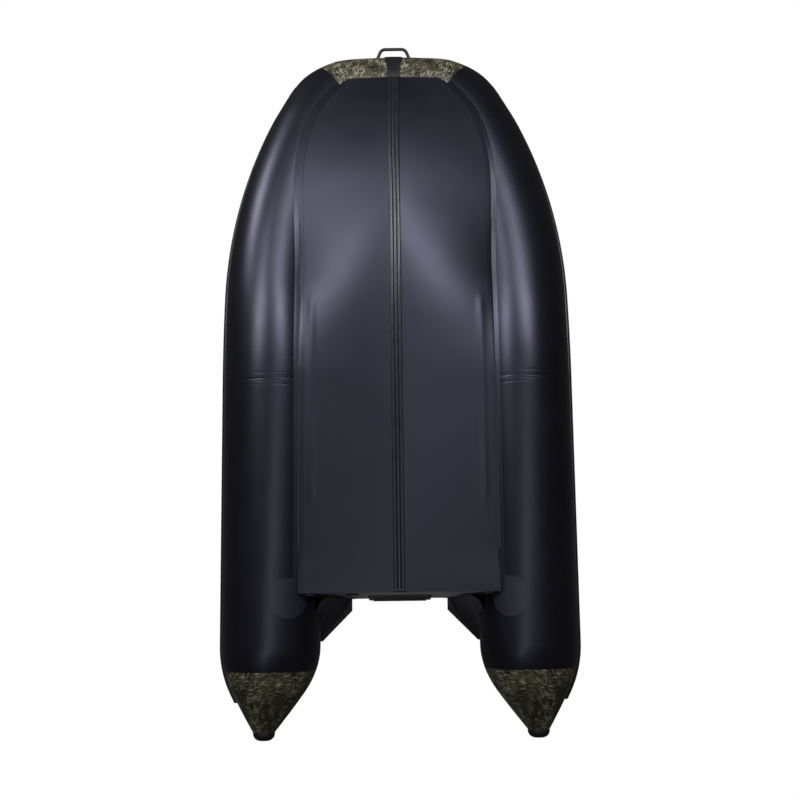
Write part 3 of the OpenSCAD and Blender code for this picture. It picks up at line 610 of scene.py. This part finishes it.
# Bottom: one black skin drawn over the inflated keel and glued to the tubes, so it hollows beside the keel.
# The floor's side stringers press a long straight line into it.
bottom_low, bottom_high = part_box("hull_bottom")
stringer_low, stringer_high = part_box("stringers")
bottom_aft_y = bottom_high.y
foot_low_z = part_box("transom")[0].z
foot_rise, foot_half = 0.0235, tube_x - tube_r / 2
lap_gap, lap_before, lap_ease, lap_over = 0.003, 0.17, 0.19, 0.036
seam_aft, seam_fore = math.radians(36.5), math.radians(2.5)
seam_turn_start, seam_turn_len = 0.465, 0.950
skin_t, bottom_t = 0.006, 0.0045
keel_level, keel_bend, keel_power = 0.0078, 0.287, 2.5
keel_end_y, keel_end_z = bottom_low.y, 0.2841
hollow_least, hollow_more = 1.25, 1.3
hollow_aft, hollow_rise, hollow_fore, hollow_fall = 0.19, 0.6, 0.25, 0.75
line_x, line_half, line_depth, line_end = 0.404, 0.012, 0.0035, 0.05
bottom_across, bottom_along = 72, 130


def ease(t):
    t = min(max(t, 0), 1)
    return t * t * (3 - 2 * t)


def seam_at(s, clear, turn=0):
    """Point on the tube, or clear of it, where the bottom is glued, or beside that by an angle."""
    point, out, up = tube_frame(s)[:3]
    angle = seam_aft - (seam_aft - seam_fore) * ease((s - seam_turn_start) / seam_turn_len) + turn
    normal = -(up * math.cos(angle) + out * math.sin(angle))
    return point + normal * (tube_r + clear)


def keel_z(y):
    bend_y = ring_y - keel_bend
    share = max(0, (bend_y - y) / (bend_y - keel_end_y))
    return keel_level + (keel_end_z - keel_level) * share ** keel_power


def bottom_point(share, s):
    """Underside of the bottom skin, at a share of the half-width from the keel to the seam."""
    seam = seam_at(s, skin_t)
    deeper = ease((ring_y + hollow_aft - seam.y) / hollow_rise)
    flatter = ease((ring_y - hollow_fore - seam.y) / hollow_fall)
    hollow = hollow_least + hollow_more * deeper * (1 - flatter)
    z = keel_z(seam.y) + (seam.z - keel_z(seam.y)) * abs(share) ** hollow
    x = seam.x * share
    along = ease((seam.y - stringer_low.y) / line_end) * ease((stringer_high.y - seam.y) / line_end)
    z -= line_depth * along * math.exp(-(((abs(x) - line_x) / line_half) ** 2))
    lap = ease((seam.y - bottom_aft_y + lap_before) / lap_ease)
    foot_z = foot_low_z - lap_gap + foot_rise * min(abs(x) / foot_half, 1)
    z += lap * min(foot_z - z, 0)
    return Vector((x, seam.y, z))


def laid_grid(name, across, along, rule):
    """A grid laid by a rule on two shares, -1 to 1 across and 0 to 1 from aft to fore."""
    piece = begin(name, bpy.ops.mesh.primitive_grid_add,
                  x_subdivisions=across, y_subdivisions=along, size=2)
    bpy.ops.object.mode_set(mode="OBJECT")
    for vertex in piece.data.vertices:
        vertex.co = rule(vertex.co.x, (vertex.co.y + 1) / 2)
    bpy.ops.object.mode_set(mode="EDIT")
    close_edit()
    return piece


aft_s = ring_y - bottom_aft_y
lap_s = aft_s - lap_over
bottom_cloth = coated_cloth("bottom_coated_cloth", black_tone, (0.38, 0.44))
bottom = laid_grid("bottom_skin", bottom_across, bottom_along,
                   lambda u, t: bottom_point(u, lap_s + (fore_arc - lap_s) * t))
modify(bottom, "SOLIDIFY", thickness=bottom_t, offset=-1)
dress(bottom, bottom_cloth, "pvc_black", ["hull_bottom"])


# Seam tape: a strip of the same cloth, 45 mm wide, glued half on the tube and half on the bottom.
# It follows the seam from the transom to the corner pieces of the bow.
tape_half, tape_t, tape_over = 0.0225, 0.0016, 0.03
tape_clear, tape_drop = 0.001, 0.005
tape_across, tape_along = 8, 120


def tape_point(u, t):
    """The tape's lower face: outboard of the seam on the tube, inboard of it under the bottom."""
    s = aft_s - tape_over + (corner_s - aft_s + tape_over) * t
    if u >= 0:
        return seam_at(s, skin_t + tape_clear - tape_drop * u, -u * tape_half / tube_r)
    seam = bottom_point(1, max(s, aft_s))
    inner = bottom_point(1 - tape_half / seam.x, max(s, aft_s))
    point = seam.lerp(inner, -u) + Vector((0, 0, -tape_t))
    return point + Vector((0, max(aft_s - s, 0), 0))


tape = laid_grid("bottom_seam_tape_port", tape_across, tape_along, tape_point)
modify(tape, "SOLIDIFY", thickness=tape_t, offset=-1)
dress(tape, black_cloth, "pvc_black")
starboard_twin(tape, "bottom_seam_tape_starboard")


# Keel guard: a three-ribbed rubber strip along the keel, closed by a moulded stop at the transom.
# A plain guard strip goes on from it up the front of the bow tube.
guard_low, guard_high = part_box("keel_guard")
guard_half, guard_over, guard_t = (guard_high.x - guard_low.x) / 2, 0.028, 0.0018
guard_aft_y = guard_high.y + guard_over
guard_across, guard_along, guard_angle = 60, 120, 60
rib_count, rib_h, base_h, rib_power = 3, 0.0068, 0.0026, 0.55
guard_clear, guard_rim = 0.0008, 0.999


def guard_point(u, t):
    """The strip's lower face, with its edges brought up to the bottom."""
    y = guard_aft_y + (guard_low.y - guard_aft_y) * t
    rib = abs(math.sin((u + 1) / 2 * rib_count * math.pi)) ** rib_power
    edge = 1 if abs(u) < guard_rim else 0
    return Vector((u * guard_half, y, keel_z(y) - guard_clear - (base_h + (rib_h - base_h) * rib) * edge))


guard_rubber = moulded("guard_rubber", (0.010, 0.010, 0.012, 1), (0.24, 0.34))
guard = laid_grid("keel_guard_strip", guard_across, guard_along, guard_point)
modify(guard, "SOLIDIFY", thickness=guard_t, offset=-1)
dress(guard, guard_rubber, "strake_rubber", ["keel_guard"], guard_angle)

stop_place = (0, guard_aft_y - 0.001, keel_level - 0.0032)
stop_size, stop_bevel = (2.1 * guard_half, 0.014, 0.0070), 0.003
stop = begin("keel_guard_stop", bpy.ops.mesh.primitive_cube_add, size=1, location=stop_place, scale=stop_size)
bpy.ops.mesh.bevel(offset=stop_bevel, segments=3, affect="EDGES")
close_edit()
dress(stop, moulded_black, "strake_rubber")

bow_guard_tuck = 0.02
bow_guard_start = math.atan2(bow_y - keel_end_y, bow_z - keel_end_z) - bow_guard_tuck
bow_guard_stop = math.radians(71)
bow_guard_clear, bow_guard_t = 0.0042, 0.0036
bow_guard_rim, bow_guard_power = 0.002, 6
bow_guard_half, bow_guard_wider, wider_from, wider_ease = 0.033, 0.013, 0.42, 0.12
bow_guard_across, bow_guard_along = 12, 30


def bow_guard_point(u, t):
    """The strip's outer face round the front of the bow tube, wider from its middle up."""
    turn = bow_guard_start + (bow_guard_stop - bow_guard_start) * t
    reach = tube_r + bow_guard_clear - bow_guard_rim * abs(u) ** bow_guard_power
    half = bow_guard_half + bow_guard_wider * ease((t - wider_from) / wider_ease)
    y = bow_y - front_depth * math.sin(turn) - reach * math.sin(turn)
    return Vector((u * half, y, bow_z - reach * math.cos(turn)))


bow_guard = laid_grid("bow_guard_strip", bow_guard_across, bow_guard_along, bow_guard_point)
modify(bow_guard, "SOLIDIFY", thickness=bow_guard_t, offset=-1)
dress(bow_guard, strake_rubber, "strake_rubber", ["bow_guard"])


# Reinforcement patches: round pieces of coated cloth, a little greyer than the tubes.
# One is glued flat under each tube, beside the foot of the transom.
patch_r, patch_x, patch_y = 0.093, 0.507, 1.108
patch_sides, patch_rings, patch_clear, patch_t = 64, 6, 0.0016, 0.0014
patch_turn = math.asin((tube_x - patch_x) / tube_r)


def on_tube(y, turn, clear):
    """Point on the port tube's straight part, at an angle inboard of its lowest line."""
    reach = tube_r + clear
    return Vector((tube_x - reach * math.sin(turn), y, tube_z - reach * math.cos(turn)))


patch = begin("round_patch_port", bpy.ops.mesh.primitive_circle_add,
              vertices=patch_sides, radius=patch_r, fill_type="NGON")
for ring in range(patch_rings):
    bpy.ops.mesh.inset(thickness=patch_r / (patch_rings + 1))
bpy.ops.object.mode_set(mode="OBJECT")
for vertex in patch.data.vertices:
    vertex.co = on_tube(patch_y + vertex.co.y, patch_turn + vertex.co.x / tube_r, patch_clear)
bpy.ops.object.mode_set(mode="EDIT")
close_edit()
modify(patch, "SOLIDIFY", thickness=patch_t, offset=-1)
patch_cloth = coated_cloth("patch_cloth", (0.010, 0.011, 0.014, 1), (0.42, 0.5))
dress(patch, patch_cloth, "pvc_black")
starboard_twin(patch, "round_patch_starboard")


# Bow handle: a stiff loop of moulded plastic, for a hand to lift the bow by.
# Its two feet stand on a curved pad, which is glued to the front of the bow tube.
handle_drop = math.radians(12)
handle_pad_half, handle_pad_turn = 0.104, math.radians(7)
handle_pad_clear, handle_pad_rim, handle_pad_power, handle_pad_t = 0.005, 0.003, 8, 0.0045
handle_pad_across, handle_pad_along = 24, 10
handle_out = Vector((0, -math.cos(handle_drop), -math.sin(handle_drop)))
bow_axis = Vector((0, bow_y, bow_z))


def handle_pad_point(u, t):
    """The pad's outer face, which falls away at the border."""
    side = 2 * t - 1
    reach = tube_r + handle_pad_clear - handle_pad_rim * max(abs(u), abs(side)) ** handle_pad_power
    turn = handle_drop + side * handle_pad_turn
    return bow_axis + Vector((u * handle_pad_half, -reach * math.cos(turn), -reach * math.sin(turn)))


handle_pad = laid_grid("bow_handle_pad", handle_pad_across, handle_pad_along, handle_pad_point)
modify(handle_pad, "SOLIDIFY", thickness=handle_pad_t, offset=-1)
dress(handle_pad, moulded_black, "moulded_plastic")

bar_r, bar_sides, bar_round, bar_round_steps, bar_angle = 0.0085, 16, 0.021, 8, 60
bar_foot, bar_grip = 0.086, 0.063
bar_root, bar_reach = tube_r + 0.003, tube_r + 0.056


def rounded(corners, reach, steps):
    """The line through these corners, each inner one rounded off that far to both sides."""
    line = [corners[0]]
    for before, corner, after in zip(corners, corners[1:], corners[2:]):
        start = corner + (before - corner).normalized() * reach
        end = corner + (after - corner).normalized() * reach
        for k in range(steps + 1):
            t = k / steps
            line.append(start.lerp(corner, t).lerp(corner.lerp(end, t), t))
    return line + [corners[-1]]


def rod(name, points, radius, sides):
    """A round bar along a line of points, closed at both ends."""
    piece = begin(name, bpy.ops.mesh.primitive_circle_add, vertices=sides, radius=radius)
    bpy.ops.object.mode_set(mode="OBJECT")
    ring = [vertex.co.copy() for vertex in piece.data.vertices]
    rings = []
    for k, point in enumerate(points):
        ahead = (points[min(k + 1, len(points) - 1)] - points[max(k - 1, 0)]).normalized()
        turn = ahead.to_track_quat("Z", "Y")
        rings.append([point + turn @ place for place in ring])
    for vertex, place in zip(piece.data.vertices, rings[0]):
        vertex.co = place
    bpy.ops.object.mode_set(mode="EDIT")
    bpy.ops.mesh.select_all(action="SELECT")
    for places in rings[1:]:
        extrude(0, 0, 0)
        bpy.ops.object.mode_set(mode="OBJECT")
        for vertex, place in zip(piece.data.vertices[-sides:], places):
            vertex.co = place
        bpy.ops.object.mode_set(mode="EDIT")
    bpy.ops.mesh.select_all(action="SELECT")
    bpy.ops.mesh.fill_holes(sides=0)
    close_edit()
    return piece


loop_corners = [bow_axis + Vector((x, 0, 0)) + handle_out * reach for x, reach in (
    (-bar_foot, bar_root), (-bar_grip, bar_reach), (bar_grip, bar_reach), (bar_foot, bar_root))]
loop_line = rounded(loop_corners, bar_round, bar_round_steps)
loop = rod("bow_handle_loop", loop_line, bar_r, bar_sides)
dress(loop, moulded_black, "moulded_plastic", ["bow_handle"], bar_angle)


# Transom: a plywood board painted grey, set in rubber channels on the tubes, with its edges rounded.
# The bottom cloth laps under its lower edge; plastic knees and cloth coves brace it to the tubes.
edge_angle, flat_angle = math.radians(30), math.radians(1)


def keep(material, *names, width):
    """CAD pieces that stay: their material, flats joined to whole faces and a small bevel on the edges."""
    for name in names:
        piece = bpy.data.objects[name]
        bpy.ops.object.select_all(action="DESELECT")
        piece.select_set(True)
        bpy.context.view_layer.objects.active = piece
        bpy.ops.object.shade_smooth_by_angle(angle=edge_angle)
        piece.data.materials.clear()
        piece.data.materials.append(material)
        weld = piece.modifiers.new("Weld", "WELD")
        weld.merge_threshold = merge_gap
        flats = piece.modifiers.new("Flats", "DECIMATE")
        flats.decimate_type, flats.angle_limit = "DISSOLVE", flat_angle
        edge = piece.modifiers.new("Bevel", "BEVEL")
        edge.width, edge.segments = width, 2
        edge.limit_method, edge.angle_limit = "ANGLE", edge_angle
        edge.harden_normals = True


def painted_ply(name, tone, rough):
    """Paint on plywood: the grain of the veneer shows through as long shallow lines."""
    grain_depth, grain_show = 0.0004, 0.5
    material = new_material(name)
    place = node(material, "ShaderNodeTexCoord")
    mottled(material, place, tone, paler(tone, 1.25), rough, 7)
    drawn = node(material, "ShaderNodeMapping", [("Vector", place, "Object")], Scale=(3, 160, 160))
    lines = node(material, "ShaderNodeTexNoise", [("Vector", drawn, "Vector")], Scale=1.6, Detail=5)
    to_shader(material, "Normal", bump(material, lines, "Fac", grain_depth, grain_show), "Normal")
    return material


transom_paint = painted_ply("transom_paint", (0.19, 0.19, 0.185, 1), (0.38, 0.5))
keep(transom_paint, "transom", width=0.004)
keep(strake_rubber, "transom_channels", width=0.002)
keep(moulded_black, "knee_plates", "drain_valve", width=0.002)
knee_low, knee_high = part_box("knee_plates")
rake = math.radians(5)
cove_gap, cove_r, cove_reach, cove_t, cove_angle = 0.0015, 0.085, 0.190, 0.0012, 60
cove_under = 0.004
cove_low_z, cove_top_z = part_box("corner_coves")[0].z, knee_low.z - cove_under
draw_power, edge_power = 2.6, 1.34
pleat_depth, pleat_turns, pleat_lean, pleat_fade = 0.004, 13, 2, 1.2
cove_across, cove_along = 40, 36


def cove_point(u, t):
    """Cloth behind the transom: a round hollow below, drawn out to the knee plate's free edge above."""
    turn = (u + 1) / 4 * math.pi
    z = cove_low_z + (cove_top_z - cove_low_z) * t
    wall_x = tube_x - math.sqrt((tube_r + cove_gap) ** 2 - (z - tube_z) ** 2)
    face_y = knee_low.y - (knee_high.z - z) * math.tan(rake) + cove_gap
    hollow = Vector((math.sin(turn) - 1, 1 - math.cos(turn), 0)) * cove_r
    edge = Vector((-max(math.cos(turn), 0) ** edge_power, max(math.sin(turn), 0) ** edge_power, 0))
    pleats = pleat_depth * math.sin(2 * turn) * math.sin(pleat_turns * turn + pleat_lean * t)
    pleats *= t * t * (pleat_fade - t)
    return Vector((wall_x, face_y, z - abs(pleats))) + hollow.lerp(edge * cove_reach, t ** draw_power)


# The coves are the same black coated cloth as the tubes; their paler, bluish tone is a painted sheen.
cove_cloth_painted_sheen = coated_cloth("cove_cloth_painted_sheen", (0.024, 0.024, 0.034, 1), (0.28, 0.36))
cove = laid_grid("corner_cove_port", cove_across, cove_along, cove_point)
modify(cove, "SOLIDIFY", thickness=cove_t, offset=0)
dress(cove, cove_cloth_painted_sheen, "pvc_black", ["corner_coves"], cove_angle)
starboard_twin(cove, "corner_cove_starboard")


# Motor pads: plastic plates screwed to both faces of the transom, where the motor is clamped.
# The outer one has ribs moulded across it, so that the clamp can't slip.
pad_plastic = moulded("pad_plastic", (0.050, 0.050, 0.050, 1), (0.45, 0.6))
keep(pad_plastic, "motor_pad_outer", "motor_pad_inner", width=0.002)
pad_low, pad_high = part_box("motor_pad_outer")
pad_border, pad_rib_bevel, pad_rib_total = 0.03, 0.0012, 9
pad_rib_size = (0.84 * (pad_high.x - pad_low.x), 0.003, 0.006)
pad_rib_pitch = (pad_high.z - pad_low.z - 2 * pad_border) / (pad_rib_total - 1)
rib = begin("motor_pad_rib_1", bpy.ops.mesh.primitive_cube_add, size=1, scale=pad_rib_size,
            location=((pad_low.x + pad_high.x) / 2, pad_high.y, pad_low.z + pad_border))
bpy.ops.mesh.bevel(offset=pad_rib_bevel, segments=3, affect="EDGES")
close_edit()
dress(rib, pad_plastic, "pad_plastic")
for k in range(1, pad_rib_total):
    more(rib, f"motor_pad_rib_{k + 1}", Matrix.Translation((0, 0, k * pad_rib_pitch)))


# Floor: film-faced plywood boards, joined by aluminium profiles and held down by side stringers.
# The brown film is pressed with a wire-mesh pattern; profiles and stringers are drawn lengths of metal.
film_ply = new_material("film_faced_ply", Specular_IOR_Level=0.45)
film_place = node(film_ply, "ShaderNodeTexCoord")
mottled(film_ply, film_place, (0.030, 0.020, 0.013, 1), (0.046, 0.030, 0.019, 1), (0.42, 0.56), 6)
film_mesh = node(film_ply, "ShaderNodeTexVoronoi", [("Vector", film_place, "Object")],
                 feature="DISTANCE_TO_EDGE", Scale=150, Randomness=0)
film_line = ramp(film_ply, film_mesh, "Distance", (0.06, (1, 1, 1, 1)), (0.16, (0, 0, 0, 1)))
to_shader(film_ply, "Normal", bump(film_ply, film_line, "Color", 0.0004), "Normal")
keep(film_ply, "floorboard_bow", "floorboard_fore", "floorboard_middle", "floorboard_aft", width=0.0012)

aluminium = new_material("extruded_aluminium", Metallic=1.0)
metal_place = node(aluminium, "ShaderNodeTexCoord")
mottled(aluminium, metal_place, (0.52, 0.53, 0.54, 1), (0.64, 0.65, 0.66, 1), (0.28, 0.42), 11)
metal_drawn = node(aluminium, "ShaderNodeMapping", [("Vector", metal_place, "Object")], Scale=(4, 4, 500))
metal_lines = node(aluminium, "ShaderNodeTexNoise", [("Vector", metal_drawn, "Vector")], Scale=2, Detail=3)
to_shader(aluminium, "Normal", bump(aluminium, metal_lines, "Fac", 0.0001, 0.4), "Normal")
keep(aluminium, "floor_joints", "stringers", width=0.0008)


# Seats: two bench boards of painted plywood, each fixed to a pair of moulded shoes.
# The shoes slide along moulded rails, which are glued to the tubes.
bench_paint = painted_ply("bench_paint", (0.060, 0.062, 0.060, 1), (0.4, 0.52))
keep(bench_paint, "bench_fore", "bench_aft", width=0.004)
keep(moulded_black, "bench_fore_shoes", "bench_aft_shoes", "seat_rails", width=0.0012)


# Fittings on the tubes: oarlock yokes that swivel in their bases, air valves and carry handles.
# All are moulded in black plastic and glued to the cloth, apart from the yokes, which stand in the bases.
keep(moulded_black, "oarlock_bases", "oarlock_yoke_port", "oarlock_yoke_starboard", width=0.0015)
keep(moulded_black, "air_valves", "carry_handles", width=0.001)


# Stage: a pale floor, solid from above and open to a look from below, and soft lamps over and under the boat.
# The sky is white to the camera and dark to the cloth, which would else mirror it along all the tubes.
# The camera is the photograph's: under the bottom, with the bow at the top of the picture.
floor_colour, floor_size, floor_z = (0.80, 0.80, 0.79, 1), 300, -0.004
floor = begin("studio_floor", bpy.ops.mesh.primitive_plane_add, size=floor_size, location=(0, 0, floor_z))
bpy.ops.object.mode_set(mode="OBJECT")
floor_paint = bpy.data.materials.new("studio_floor_paint")
floor_paint.use_nodes = True
floor_tree = floor_paint.node_tree
floor_tree.nodes.clear()
floor_face = floor_tree.nodes.new("ShaderNodeNewGeometry")
floor_ray = floor_tree.nodes.new("ShaderNodeLightPath")
floor_open = floor_tree.nodes.new("ShaderNodeMath")
floor_open.operation = "MAXIMUM"
floor_open.use_clamp = True
floor_pale = floor_tree.nodes.new("ShaderNodeBsdfDiffuse")
floor_pale.inputs["Color"].default_value = floor_colour
floor_clear = floor_tree.nodes.new("ShaderNodeBsdfTransparent")
floor_mix = floor_tree.nodes.new("ShaderNodeMixShader")
floor_out = floor_tree.nodes.new("ShaderNodeOutputMaterial")
for source, output, target, into in (
    (floor_face, "Backfacing", floor_open, 0),
    (floor_ray, "Transparent Depth", floor_open, 1),
    (floor_open, 0, floor_mix, 0),
    (floor_pale, 0, floor_mix, 1),
    (floor_clear, 0, floor_mix, 2),
    (floor_mix, 0, floor_out, 0),
):
    floor_tree.links.new(source.outputs[output], target.inputs[into])
floor.data.materials.append(floor_paint)

sky_dark, sky_white = 0.05, 1
world = bpy.data.worlds.new("studio")
bpy.context.scene.world = world
world.use_nodes = True
sky = world.node_tree.nodes["Background"]
sky_ray = world.node_tree.nodes.new("ShaderNodeLightPath")
sky_level = world.node_tree.nodes.new("ShaderNodeMapRange")
sky_level.inputs["To Min"].default_value = sky_dark
sky_level.inputs["To Max"].default_value = sky_white
world.node_tree.links.new(sky_ray.outputs["Is Camera Ray"], sky_level.inputs["Value"])
world.node_tree.links.new(sky_level.outputs["Result"], sky.inputs["Strength"])
sky.inputs["Color"].default_value = (1, 1, 1, 1)

# Each lamp: its name, place, aim, width and length in metres, and power in watts.
lamp_tint = (0.88, 0.90, 1)
lamps = (
    ("softbox_under_bow_port", (1.6, -3.2, -4.9), (0, -0.5, 0.1), (2.4, 1.3), 195),
    ("softbox_under_bow_starboard", (-3.0, -3.0, -4.2), (-0.4, -0.5, 0.1), (2.4, 1.4), 185),
    ("softbox_under_starboard", (-4.4, -4.3, -0.8), (-0.6, -0.8, 0.2), (1.3, 1.3), 100),
    ("strip_under_bow", (0.15, -4.2, -4.0), (0.1, -0.6, 0.2), (2.2, 0.4), 60),
    ("strip_under_middle", (-0.65, 1.6, -5.2), (-0.2, 1.1, 0), (0.4, 5.4), 40),
    ("softbox_under_port", (1.7, 0.6, -5.0), (0.2, 0.4, 0), (1.0, 1.8), 5),
    ("softbox_overhead", (0, -0.6, 6.5), (0, -0.3, 0.2), (2.4, 2.4), 170),
)
for name, place, aim, size, power in lamps:
    lamp = bpy.data.lights.new(name, "AREA")
    lamp.shape = "RECTANGLE"
    lamp.size, lamp.size_y = size
    lamp.energy = power
    lamp.color = lamp_tint
    holder = bpy.data.objects.new(name, lamp)
    bpy.context.scene.collection.objects.link(holder)
    holder.location = place
    holder.rotation_euler = (Vector(aim) - Vector(place)).to_track_quat("-Z", "Y").to_euler()
sun_width = math.radians(35)
for name, way, strength in (
    ("sun_over_port", (-0.5, 0.45, -1), 2.1),
    ("sun_over_stern", (0.6, -0.7, -1), 1.0),
):
    sun = bpy.data.lights.new(name, "SUN")
    sun.energy = strength
    sun.angle = sun_width
    holder = bpy.data.objects.new(name, sun)
    bpy.context.scene.collection.objects.link(holder)
    holder.rotation_euler = Vector(way).to_track_quat("-Z", "Y").to_euler()
    holder.visible_glossy = False

view_distance, view_tilt, view_roll = 5.5, math.radians(8.8), math.radians(0.72)
view_target = Vector((0.0130, 0.200, 0))
focal_px, image_px, sensor_mm = 1178, 800, 36
view_line = Vector((0, -math.sin(view_tilt), math.cos(view_tilt)))
view_up = Vector((0, -math.cos(view_tilt), -math.sin(view_tilt)))
view_right = view_line.cross(view_up)
camera_data = bpy.data.cameras.new("photo_camera")
camera_data.sensor_width = sensor_mm
camera_data.lens = focal_px * sensor_mm / image_px
camera = bpy.data.objects.new("photo_camera", camera_data)
bpy.context.scene.collection.objects.link(camera)
axes = Matrix((view_right, view_up, -view_line)).transposed()
camera.matrix_world = Matrix.Translation(view_target - view_line * view_distance) @ (
    Matrix.Rotation(view_roll, 3, view_line) @ axes).to_4x4()
bpy.context.scene.camera = camera
